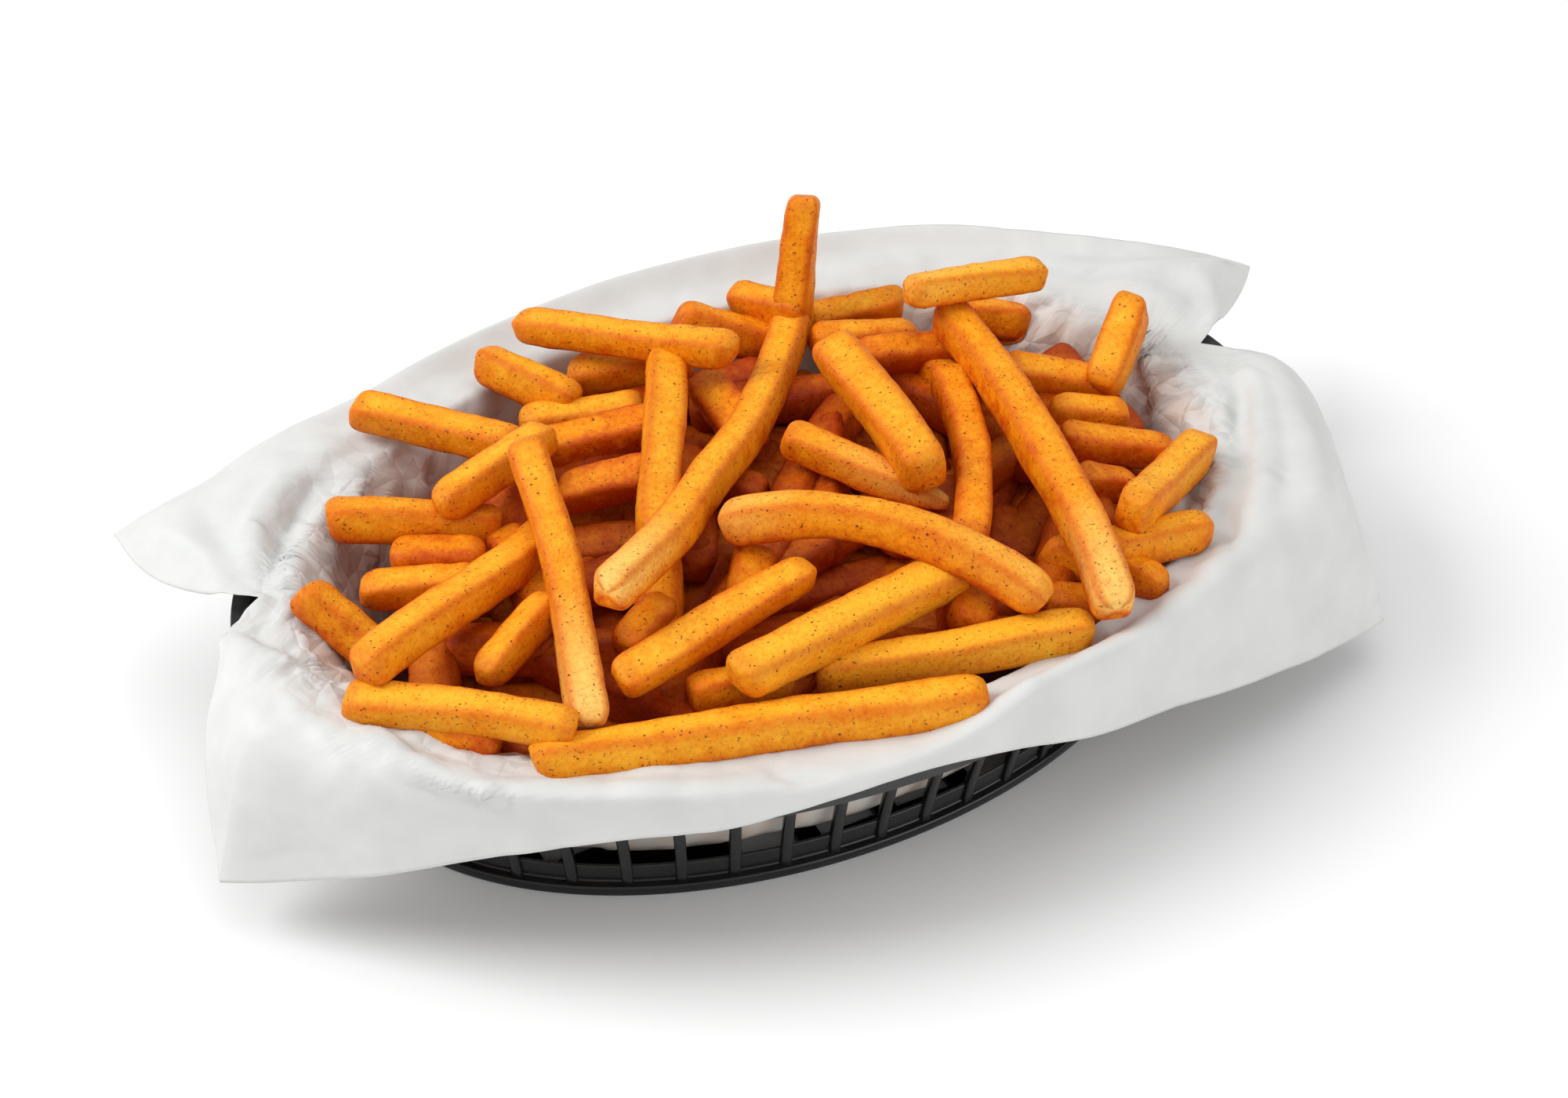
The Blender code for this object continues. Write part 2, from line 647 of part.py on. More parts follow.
def fry_mesh(bm, points, thick, twist):
    """Adds one fry: a square bar with chamfered corners and blunt ends along its centre line."""
    start, middle, end = points[0], points[len(points) // 2], points[-1]
    axis = (end - start) / np.linalg.norm(end - start)
    side = np.cross(axis, (0.0, 0.0, 1.0))
    side /= max(np.linalg.norm(side), 1e-6)
    up = np.cross(side, axis)
    turned = (math.cos(twist) * side + math.sin(twist) * up, math.cos(twist) * up - math.sin(twist) * side)
    half = 0.5 * thick
    cut = FRY_CORNER * thick
    outline = []
    for sx, sy in ((1, 1), (-1, 1), (-1, -1), (1, -1)):
        pair = [(sx * half, sy * (half - cut)), (sx * (half - cut), sy * half)]
        outline += pair if sx * sy > 0 else pair[::-1]
    stations = [(start, 0.62), (start + axis * FRY_END, 1.0), (middle, 1.0), (end - axis * FRY_END, 1.0), (end, 0.62)]
    rings = []
    for place, size in stations:
        rings.append([bm.verts.new(place + (turned[0] * a + turned[1] * b) * size) for a, b in outline])
    for low, high in zip(rings, rings[1:]):
        for i in range(8):
            after = (i + 1) % 8
            bm.faces.new((low[i], low[after], high[after], high[i]))
    bm.faces.new(rings[0][::-1])
    bm.faces.new(rings[-1])


def fill_fries(rng):
    """Fries of the layer under the showing ones, lying on the core at random."""
    fill = []
    golden = math.pi * (3.0 - math.sqrt(5.0))
    reach = grown(wall_half(BASKET_HEIGHT), -22.0 * MM)
    for index in range(FILL_COUNT):
        share = math.sqrt((index + 0.5) / FILL_COUNT)
        angle = index * golden
        centre = np.array([reach[0] * share * math.cos(angle), reach[1] * share * math.sin(angle)])
        turn = angle + 0.5 * math.pi + rng.uniform(-0.7, 0.7) if share > 0.6 else rng.uniform(0.0, math.pi)
        half_length = rng.uniform(20.0, 32.0) * MM
        step = half_length * np.array([math.cos(turn), math.sin(turn)])
        ends = []
        for place in (centre - step, centre + step):
            limit = polar_oval(reach, math.atan2(place[1], place[0])) + 8.0 * MM
            place = place * min(1.0, limit / np.linalg.norm(place))
            ends.append(np.array([*place, float(core_height(*place)) + rng.uniform(0.0, 2.5) * MM]))
        fill.append((centre_line(ends[0], ends[1], 0.0), 0.5 * rng.uniform(9.5, 11.0) * MM))
    return fill


def keep_largest(obj):
    """Drops every loose piece of an object's mesh but the largest."""
    bm = bmesh.new()
    bm.from_mesh(obj.data)
    left = set(bm.verts)
    pieces = []
    while left:
        piece, edge = set(), [left.pop()]
        while edge:
            vert = edge.pop()
            piece.add(vert)
            for link in vert.link_edges:
                other = link.other_vert(vert)
                if other in left:
                    left.remove(other)
                    edge.append(other)
        pieces.append(piece)
    largest = max(pieces, key=len)
    bmesh.ops.delete(bm, geom=[vert for vert in bm.verts if vert not in largest], context="VERTS")
    bm.to_mesh(obj.data)
    bm.free()


def make_fries(group):
    """The heap: the core with the fries that show fused onto it as one body."""
    rng = random.Random(FILL_SEED)
    fill = fill_fries(rng)
    placed = fill + Heap(fill).lay()
    core = make_core(group)
    pieces = new_collection("fry_pieces")
    for points, half in placed:
        bm = bmesh.new()
        fry_mesh(bm, points, 2.0 * half, rng.uniform(-0.5, 0.5))
        mesh_object("fry", bm, pieces)
    change = core.modifiers.new("heap", "BOOLEAN")
    change.operation = "UNION"
    change.solver = "MANIFOLD"
    change.operand_type = "COLLECTION"
    change.collection = pieces
    apply_modifiers(core)
    for piece in list(pieces.objects):
        bpy.data.objects.remove(piece)
    bpy.data.collections.remove(pieces)
    join_solids(core, make_liner(group, FRY_CLEAR), "DIFFERENCE", "MANIFOLD")
    keep_largest(core)
    core.data.materials.clear()
    core.data.materials.append(plain_material("fried_potato", (0.74, 0.27, 0.04), 0.50))
    return core


def main():
    """Builds the three sub-parts."""
    clear_scene()
    group = new_collection("french_fries_portion")
    make_basket(group)
    make_liner(group)
    make_fries(group)


main()
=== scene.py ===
"""A portion of seasoned french fries, heaped in an oval plastic basket lined with deli paper.

Metres, +Z up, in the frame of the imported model: the origin is the centre of the basket's foot and
+X runs along the oval. Every piece rides on the one body, because the food rests in its basket.
"""

import logging
import math
import random
from dataclasses import dataclass, field
from enum import Enum

import bmesh
import bpy
import numpy as np
from mathutils import Matrix, Vector, noise
from mathutils.bvhtree import BVHTree


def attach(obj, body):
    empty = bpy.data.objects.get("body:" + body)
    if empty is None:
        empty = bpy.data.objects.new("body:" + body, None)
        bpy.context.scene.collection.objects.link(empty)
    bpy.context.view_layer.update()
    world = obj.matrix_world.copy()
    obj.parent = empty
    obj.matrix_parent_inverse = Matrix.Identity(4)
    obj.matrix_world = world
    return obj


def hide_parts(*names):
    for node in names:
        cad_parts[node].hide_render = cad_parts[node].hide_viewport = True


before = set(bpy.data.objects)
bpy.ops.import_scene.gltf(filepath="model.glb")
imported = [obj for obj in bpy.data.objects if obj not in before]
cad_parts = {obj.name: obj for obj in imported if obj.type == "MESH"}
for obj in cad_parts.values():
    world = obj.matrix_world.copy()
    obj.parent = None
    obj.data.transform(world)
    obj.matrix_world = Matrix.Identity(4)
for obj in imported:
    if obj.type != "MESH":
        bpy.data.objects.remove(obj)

logging.basicConfig(level=logging.INFO, format="%(message)s")
log = logging.getLogger("fries_portion")

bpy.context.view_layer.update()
MM = 0.001
TAU = 2.0 * math.pi


class Slot(Enum):
    """The record's material slots."""

    PLASTIC = "black_plastic"
    PAPER = "deli_paper"
    POTATO = "fried_potato"


class Tip(Enum):
    """How a potato stick ends: the length of its taper, its size at the very end and how full it stays."""

    BLUNT = (3.6 * MM, 0.44, 2.1)
    ROUND = (4.8 * MM, 0.34, 2.0)
    TAPERED = (21.0 * MM, 0.22, 1.5)


# Small tools


def hex_colour(text: str) -> tuple[float, float, float, float]:
    """Turns an sRGB hex colour to linear light.

    Args:
        text: six hex digits, with or without a leading hash.

    Returns:
        The linear red, green and blue, and an alpha of one.
    """
    digits = text.lstrip("#")
    parts = [int(digits[i:i + 2], 16) / 255.0 for i in (0, 2, 4)]
    linear = [c / 12.92 if c <= 0.04045 else ((c + 0.055) / 1.055) ** 2.4 for c in parts]
    return (linear[0], linear[1], linear[2], 1.0)


def add_node(tree: bpy.types.NodeTree, kind: str, feeds: dict | None = None, **settings) -> bpy.types.Node:
    """Adds a node with its settings, values and links.

    Args:
        tree: the tree it goes in.
        kind: the node's type name.
        feeds: for each input, by name or number, a value or the output socket it is linked from.
        **settings: the node's own properties.

    Returns:
        The node.
    """
    node = tree.nodes.new(kind)
    for name, value in settings.items():
        setattr(node, name, value)
    for key, value in (feeds or {}).items():
        if isinstance(value, bpy.types.NodeSocket):
            tree.links.new(value, node.inputs[key])
        else:
            node.inputs[key].default_value = value
    return node


def new_material(name: str) -> tuple[bpy.types.Material, bpy.types.NodeTree, bpy.types.Node]:
    """Makes an empty material with a Principled shader.

    Args:
        name: the material's name.

    Returns:
        The material, its tree and its shader node.
    """
    material = bpy.data.materials.new(name)
    material.use_nodes = True
    tree = material.node_tree
    return material, tree, tree.nodes["Principled BSDF"]


def ramp(tree: bpy.types.NodeTree, factor: bpy.types.NodeSocket,
         stops: list[tuple[float, str]]) -> bpy.types.NodeSocket:
    """Adds a colour ramp.

    Args:
        tree: the material's tree.
        factor: the socket that runs along the ramp.
        stops: places on the ramp, each with its sRGB hex colour.

    Returns:
        The ramp's colour socket.
    """
    node = add_node(tree, "ShaderNodeValToRGB", {"Fac": factor})
    elements = node.color_ramp.elements
    while len(elements) < len(stops):
        elements.new(0.5)
    for element, (place, colour) in zip(elements, stops):
        element.position = place
        element.color = hex_colour(colour)
    return node.outputs["Color"]


def mixed(tree: bpy.types.NodeTree, factor: object, low: object, high: object) -> bpy.types.NodeSocket:
    """Adds a mix of two colours.

    Args:
        tree: the material's tree.
        factor: share of the second colour, a number or a socket.
        low: the first colour or its socket.
        high: the second colour or its socket.

    Returns:
        The mixed colour's socket.
    """
    node = add_node(tree, "ShaderNodeMix", {0: factor, 6: low, 7: high}, data_type="RGBA")
    return node.outputs[2]


def calc(tree: bpy.types.NodeTree, operation: str, *values: object,
         clamp: bool = False) -> bpy.types.NodeSocket:
    """Adds one sum on numbers or sockets.

    Args:
        tree: the tree it goes in.
        operation: the Math node's operation.
        *values: its inputs in order.
        clamp: whether the result is kept between zero and one.

    Returns:
        The result's socket.
    """
    node = add_node(tree, "ShaderNodeMath", dict(enumerate(values)), operation=operation, use_clamp=clamp)
    return node.outputs[0]


def aimed(tree: bpy.types.NodeTree, operation: str, feeds: dict) -> bpy.types.NodeSocket:
    """Adds one sum on vectors and returns its vector socket."""
    return add_node(tree, "ShaderNodeVectorMath", feeds, operation=operation).outputs[0]


def here(tree: bpy.types.NodeTree) -> bpy.types.NodeSocket:
    """Adds the place on the object, in metres, that its patterns are laid out by."""
    return add_node(tree, "ShaderNodeTexCoord").outputs["Object"]


def mottled(tree: bpy.types.NodeTree, size: float, detail: float = 2.0,
            rough: float = 0.5) -> bpy.types.NodeSocket:
    """Adds soft random patches.

    Args:
        tree: the material's tree.
        size: the patches' size in metres.
        detail: how many finer levels they have.
        rough: how strong the finer levels are.

    Returns:
        The patches' strength.
    """
    feeds = {"Vector": here(tree), "Scale": 1.0 / size, "Detail": detail, "Roughness": rough}
    return add_node(tree, "ShaderNodeTexNoise", feeds).outputs["Fac"]


def cells(tree: bpy.types.NodeTree, size: float) -> bpy.types.NodeSocket:
    """Adds cells of a size in metres and returns the distance from their edges."""
    feeds = {"Vector": here(tree), "Scale": 1.0 / size}
    return add_node(tree, "ShaderNodeTexVoronoi", feeds, feature="DISTANCE_TO_EDGE").outputs["Distance"]


def look(tree: bpy.types.NodeTree, name: str) -> bpy.types.NodeSocket:
    """Adds one of the piece's own attributes and returns its value."""
    return add_node(tree, "ShaderNodeAttribute", attribute_name=name).outputs["Fac"]


def dress(tree: bpy.types.NodeTree, shader: bpy.types.Node, bump: tuple | None = None,
          **sockets: object) -> None:
    """Sets what a shader needs.

    Args:
        tree: the material's tree.
        shader: its shader.
        bump: the relief's height socket, strength and depth, where it has relief.
        **sockets: a value or an output socket for each of the shader's inputs, spaces as underscores.
    """
    if bump:
        height, strength, depth = bump
        feeds = {"Height": height, "Strength": strength, "Distance": depth}
        tree.links.new(add_node(tree, "ShaderNodeBump", feeds).outputs["Normal"], shader.inputs["Normal"])
    for name, value in sockets.items():
        socket = shader.inputs[name.replace("_", " ")]
        if isinstance(value, bpy.types.NodeSocket):
            tree.links.new(value, socket)
        else:
            socket.default_value = value


def node_group(name: str, inputs: dict[str, str], output: str) -> tuple[bpy.types.NodeTree, dict[str, str]]:
    """Makes an empty geometry tree with named inputs.

    Args:
        name: the tree's name.
        inputs: the kind of each input by its name.
        output: its output's name.

    Returns:
        The tree, and the identifier of each of its named inputs.
    """
    tree = bpy.data.node_groups.new(name, "GeometryNodeTree")
    sockets = {label: tree.interface.new_socket(name=label, in_out="INPUT", socket_type=kind).identifier
               for label, kind in inputs.items()}
    tree.interface.new_socket(name=output, in_out="OUTPUT", socket_type="NodeSocketGeometry")
    return tree, sockets


def grow(obj: bpy.types.Object, group: tuple[bpy.types.NodeTree, dict[str, str]],
         values: dict[str, object]) -> None:
    """Puts a geometry tree on an object.

    Args:
        obj: the object.
        group: the tree and the identifiers of its inputs.
        values: a value for each input by its name.
    """
    tree, sockets = group
    modifier = obj.modifiers.new(tree.name, "NODES")
    modifier.node_group = tree
    for name, value in values.items():
        modifier[sockets[name]] = value


def rounded(obj: bpy.types.Object, width: float, segments: int, steepest: float = 30.0) -> bpy.types.Object:
    """Rounds an object's edges and turns all its modifiers into its mesh.

    Args:
        obj: the object.
        width: the rounding's width.
        segments: its faces.
        steepest: edges flatter than this many degrees stay as they are.

    Returns:
        The object.
    """
    rounding = obj.modifiers.new("rounding", "BEVEL")
    rounding.width = width
    rounding.segments = segments
    rounding.limit_method = "ANGLE"
    rounding.angle_limit = math.radians(steepest)
    return baked(obj)


def grid_faces(rings: int, around: int, first: int = 0) -> list[tuple[int, ...]]:
    """Lists the quads of a tube of rings.

    Args:
        rings: how many rings.
        around: points in a ring.
        first: index of the first ring's first point.

    Returns:
        The faces, pointing outwards where the rings turn left as they go up.
    """
    faces = []
    for ring in range(rings - 1):
        low, high = first + ring * around, first + (ring + 1) * around
        for i in range(around):
            after = (i + 1) % around
            faces.append((low + i, low + after, high + after, high + i))
    return faces


def in_scene(name: str, data: bpy.types.ID) -> bpy.types.Object:
    """Puts an object with some data in the scene."""
    obj = bpy.data.objects.new(name, data)
    bpy.context.scene.collection.objects.link(obj)
    return obj


def new_piece(name: str, verts: np.ndarray, faces: list[tuple[int, ...]], material: bpy.types.Material,
              smooth: bool = True) -> bpy.types.Object:
    """Makes a mesh object at the origin with its place in its mesh.

    Args:
        name: the piece's name.
        verts: its points.
        faces: its faces as tuples of indices.
        material: its finish.
        smooth: whether it is shaded smooth.

    Returns:
        The object.
    """
    mesh = bpy.data.meshes.new(name)
    mesh.from_pydata([tuple(v) for v in verts], [], faces)
    mesh.materials.append(material)
    if smooth:
        mesh.shade_smooth()
    mesh.update()
    return in_scene(name, mesh)


def baked(obj: bpy.types.Object) -> bpy.types.Object:
    """Turns an object's modifiers into its mesh.

    Args:
        obj: the object, at the origin.

    Returns:
        The same object, without modifiers.
    """
    graph = bpy.context.evaluated_depsgraph_get()
    mesh = bpy.data.meshes.new_from_object(obj.evaluated_get(graph))
    obj.modifiers.clear()
    obj.data = mesh
    return obj


def settled(obj: bpy.types.Object) -> bpy.types.Object:
    """Lets a finished piece ride on the body."""
    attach(obj, "root")
    log.info("%s: %d faces", obj.name, len(obj.data.polygons))
    return obj


# The photograph's view


@dataclass(frozen=True)
class PhotoView:
    """The photograph's view: which way it looks and from where."""

    azimuth: float = math.radians(-30.82)
    elevation: float = math.radians(42.23)
    roll: float = math.radians(3.0)
    distance: float = 0.650
    aim: float = 0.030
    focal: float = 3900.0
    centre: tuple[float, float] = (986.2, 714.0)
    picture: tuple[int, int] = (2000, 1400)
    sensor: float = 36.0

    def axes(self) -> tuple[np.ndarray, np.ndarray, np.ndarray]:
        """Works out the view's directions.

        Returns:
            Unit vectors back towards the eye, right and up in the picture.
        """
        flat = math.cos(self.elevation)
        back = np.array([math.sin(self.azimuth) * flat, -math.cos(self.azimuth) * flat,
                         math.sin(self.elevation)])
        right = np.array([math.cos(self.azimuth), math.sin(self.azimuth), 0.0])
        up = np.cross(back, right)
        turn, lift = math.cos(self.roll), math.sin(self.roll)
        return back, turn * right + lift * up, turn * up - lift * right

    def eye(self) -> np.ndarray:
        """Where the eye is."""
        return np.array([0.0, 0.0, self.aim]) + self.axes()[0] * self.distance

    def sight_point(self, pixel: tuple[float, float], height: float) -> np.ndarray:
        """Finds the place that the photograph shows at a pixel.

        Args:
            pixel: across and down in the photograph.
            height: the place's height.

        Returns:
            The place.
        """
        back, right, up = self.axes()
        across = (pixel[0] - self.centre[0]) / self.focal
        down = (pixel[1] - self.centre[1]) / self.focal
        ray = across * right - down * up - back
        eye = self.eye()
        return eye + ray * (height - eye[2]) / ray[2]

    def seen_at(self, places: np.ndarray) -> np.ndarray:
        """Finds the pixels at which the photograph shows some places.

        Args:
            places: the places, one a row.

        Returns:
            Across and down in the photograph for each.
        """
        back, right, up = self.axes()
        away = places - self.eye()
        depth = -(away @ back)
        return np.stack([self.centre[0] + self.focal * (away @ right) / depth,
                         self.centre[1] - self.focal * (away @ up) / depth], axis=1)

    def make_camera(self) -> None:
        """Makes the camera that stands at the photograph's eye."""
        data = bpy.data.cameras.new("photo_camera")
        data.sensor_width = self.sensor
        data.lens = self.focal * self.sensor / self.picture[0]
        data.shift_x = (0.5 * self.picture[0] - self.centre[0]) / self.picture[0]
        data.shift_y = (self.centre[1] - 0.5 * self.picture[1]) / self.picture[0]
        back, right, up = self.axes()
        camera = in_scene("photo_camera", data)
        columns = Matrix((right, up, back)).transposed().to_4x4()
        camera.matrix_world = Matrix.Translation(Vector(self.eye())) @ columns
        bpy.context.scene.camera = camera


VIEW = PhotoView()


# Finishes


@dataclass(frozen=True)
class MouldedPolypropylene:
    """Black injection-moulded polypropylene: an even gloss with a faint satin haze and broad highlights."""

    colour: str = "#0C0C0C"
    haze: str = "#151515"
    roughness: float = 0.27
    haze_size: float = 9.0 * MM
    grain_size: float = 0.5 * MM

    def make(self) -> bpy.types.Material:
        """Builds the material."""
        material, tree, shader = new_material("moulded_black_polypropylene")
        haze = mottled(tree, self.haze_size, 3.0)
        rough = calc(tree, "MULTIPLY_ADD", haze, 0.16, self.roughness - 0.08)
        colour = ramp(tree, haze, [(0.35, self.colour), (0.75, self.haze)])
        dress(tree, shader, (mottled(tree, self.grain_size), 0.12, 0.05 * MM), Base_Color=colour,
              Roughness=rough, IOR=1.49)
        return material


@dataclass(frozen=True)
class GreaseproofPaper:
    """White calendered greaseproof paper: thin, bright, with a faint sheen, creases and fibre clouds."""

    bright: str = "#D4D5D3"
    cloud: str = "#CBCCCA"
    grease_and_shade: str = "#D0B8A6"
    fibre_size: float = 0.8 * MM
    cloud_size: float = 14.0 * MM
    crease_size: float = 11.0 * MM
    facet_size: float = 6.5 * MM
    spot_size: float = 6.0 * MM

    def make(self) -> bpy.types.Material:
        """Builds the material."""
        material, tree, shader = new_material("greaseproof_deli_paper")
        base = ramp(tree, mottled(tree, self.cloud_size, 4.0), [(0.3, self.cloud), (0.7, self.bright)])
        # Where the fries lie against it the paper is tinted warm in spots: partly grease from the fries, partly
        # painted warm shade
        spots = calc(tree, "MULTIPLY_ADD", mottled(tree, self.spot_size), 1.6, -0.25)
        soaked_and_shaded = calc(tree, "MULTIPLY", look(tree, "oil"), spots, clamp=True)
        edge = calc(tree, "MINIMUM", cells(tree, self.crease_size), 0.10)
        height = calc(tree, "MULTIPLY_ADD", mottled(tree, self.fibre_size, 3.0), 0.06,
                      calc(tree, "MULTIPLY", edge, 2.0))
        # Where the sheet is gathered it breaks into small facets with crisp edges
        facet = calc(tree, "MULTIPLY", cells(tree, self.facet_size), look(tree, "gathered"))
        height = calc(tree, "MULTIPLY_ADD", facet, 22.0, height)
        dress(tree, shader, (height, 0.30, 0.4 * MM), Roughness=0.52, IOR=1.45, Specular_IOR_Level=0.35,
              Base_Color=mixed(tree, soaked_and_shaded, base, hex_colour(self.grease_and_shade)))
        return material


@dataclass(frozen=True)
class FriedPotato:
    """Potato fried in oil under a thin coating: golden, browner on its edges, dusted with red spice."""

    name: str = "fried_coated_potato"
    deep: str = "#C84C02"
    golden: str = "#F0900A"
    light: str = "#FBB62A"
    pale: str = "#FCD474"
    brown: str = "#C25004"
    spice: str = "#AC3E04"
    pepper: str = "#5A1E06"
    patch_size: float = 9.0 * MM
    mottle_size: float = 2.2 * MM
    dust_size: float = 0.9 * MM
    pepper_size: float = 0.80 * MM
    crust_size: float = 0.9 * MM

    def make(self) -> bpy.types.Material:
        """Builds the material."""
        material, tree, shader = new_material(self.name)
        tone, pale, edge = (look(tree, name) for name in ("tone", "pale", "edge"))
        patches, mottle, dust, pepper, lumps = (
            mottled(tree, size, detail, 0.65) for size, detail in (
                (self.patch_size, 3.0), (self.mottle_size, 4.0), (self.dust_size, 5.0), (self.pepper_size, 1.0),
                (self.crust_size, 4.0)))
        # Frying browns the crust in patches; each point's tone shifts it as a whole, and the tone carries
        # painted shade on the fries' sides, undersides and lower layers and a painted highlight in the middle
        # of each face
        share = calc(tree, "MULTIPLY_ADD", patches, 0.8, calc(tree, "MULTIPLY_ADD", mottle, 0.8, -0.62))
        share = calc(tree, "ADD", share, calc(tree, "MULTIPLY", tone, 0.75))
        crust = ramp(tree, share, [(0.08, self.deep), (0.45, self.golden), (0.92, self.light)])
        soft = calc(tree, "MULTIPLY", pale, calc(tree, "MULTIPLY_ADD", edge, -0.6, 0.95))
        crust = mixed(tree, soft, crust, hex_colour(self.pale))
        crust = mixed(tree, calc(tree, "MULTIPLY", edge, 0.72), crust, hex_colour(self.brown))
        # Spice dust: a fine broken veil of red-brown powder that gathers in places
        gathered = calc(tree, "MULTIPLY_ADD", patches, -1.0, 1.15)
        veil = calc(tree, "MULTIPLY", calc(tree, "MULTIPLY_ADD", dust, 4.5, -2.1, clamp=True), gathered)
        crust = mixed(tree, calc(tree, "MULTIPLY", veil, 0.55), crust, hex_colour(self.spice))
        # Pepper: sparse uneven specks 0.2 to 0.5 mm across
        speck = calc(tree, "MULTIPLY_ADD", pepper, 16.0, -10.6, clamp=True)
        crust = mixed(tree, calc(tree, "MULTIPLY", speck, 0.75), crust, hex_colour(self.pepper))
        dress(tree, shader, (calc(tree, "MULTIPLY_ADD", mottle, 1.2, lumps), 0.6, 0.30 * MM), Base_Color=crust,
              Roughness=calc(tree, "MULTIPLY_ADD", dust, 0.35, 0.34), IOR=1.45, Specular_IOR_Level=0.20,
              Subsurface_Weight=0.12, Subsurface_Radius=(1.0, 0.35, 0.08), Subsurface_Scale=2.5 * MM)
        return material


@dataclass(frozen=True)
class SpiceGrain:
    """Dry ground spice: a matt grain of one dark colour that varies from grain to grain."""

    name: str
    dark: str
    light: str
    spread: float = 2.5 * MM

    def make(self) -> bpy.types.Material:
        """Builds the material."""
        material, tree, shader = new_material(self.name)
        colour = ramp(tree, mottled(tree, self.spread), [(0.35, self.dark), (0.65, self.light)])
        dress(tree, shader, Base_Color=colour, Roughness=0.8)
        return material


@dataclass(frozen=True)
class PotatoDepths:
    """The inside of the heap, where light hardly reaches: fried potato seen in deep shade."""

    dark: str = "#4A1204"
    light: str = "#7E2A08"
    lump_size: float = 8.0 * MM

    def make(self) -> bpy.types.Material:
        """Builds the material."""
        material, tree, shader = new_material("fried_potato_depths")
        lumps = mottled(tree, self.lump_size, 3.0)
        dress(tree, shader, (lumps, 0.8, 1.5 * MM), Roughness=0.7,
              Base_Color=ramp(tree, lumps, [(0.35, self.dark), (0.7, self.light)]))
        return material


@dataclass(frozen=True)
class PaintedBoard:
    """A matt white painted board: the plain floor under the basket."""

    colour: str = "#F4F4F4"

    def make(self) -> bpy.types.Material:
        """Builds the material."""
        material, tree, shader = new_material("matt_white_board")
        dress(tree, shader, Base_Color=hex_colour(self.colour), Roughness=0.9, Specular_IOR_Level=0.1)
        return material


# The basket


def polar_oval(half: tuple[float, float], angle: float) -> float:
    """The radius of an oval of the given half sizes in a direction seen from its centre."""
    return 1.0 / math.hypot(math.cos(angle) / half[0], math.sin(angle) / half[1])


def oval_point(half: tuple[float, float], angle: float, share: float = 1.0) -> tuple[float, float]:
    """The point of an oval, or of a smaller one inside it, in a direction seen from its centre."""
    radius = polar_oval(half, angle) * share
    return radius * math.cos(angle), radius * math.sin(angle)


def grown(half: tuple[float, float], distance: float) -> tuple[float, float]:
    """Half sizes of an oval moved outwards by a distance."""
    return (half[0] + distance, half[1] + distance)


def even_angles(half: tuple[float, float], count: int, phase: float = 0.0) -> list[float]:
    """Divides an oval's edge into equal lengths.

    Args:
        half: the oval's half sizes.
        count: how many lengths.
        phase: share of a length by which the first division stands off +X.

    Returns:
        The directions of the divisions, from the centre.
    """
    fine = np.linspace(0.0, TAU, 1441)
    radii = np.array([polar_oval(half, a) for a in fine])
    points = np.stack([radii * np.cos(fine), radii * np.sin(fine)], axis=1)
    lengths = np.concatenate([[0.0], np.cumsum(np.linalg.norm(np.diff(points, axis=0), axis=1))])
    return list(np.interp((np.arange(count) + phase) * lengths[-1] / count, lengths, fine))


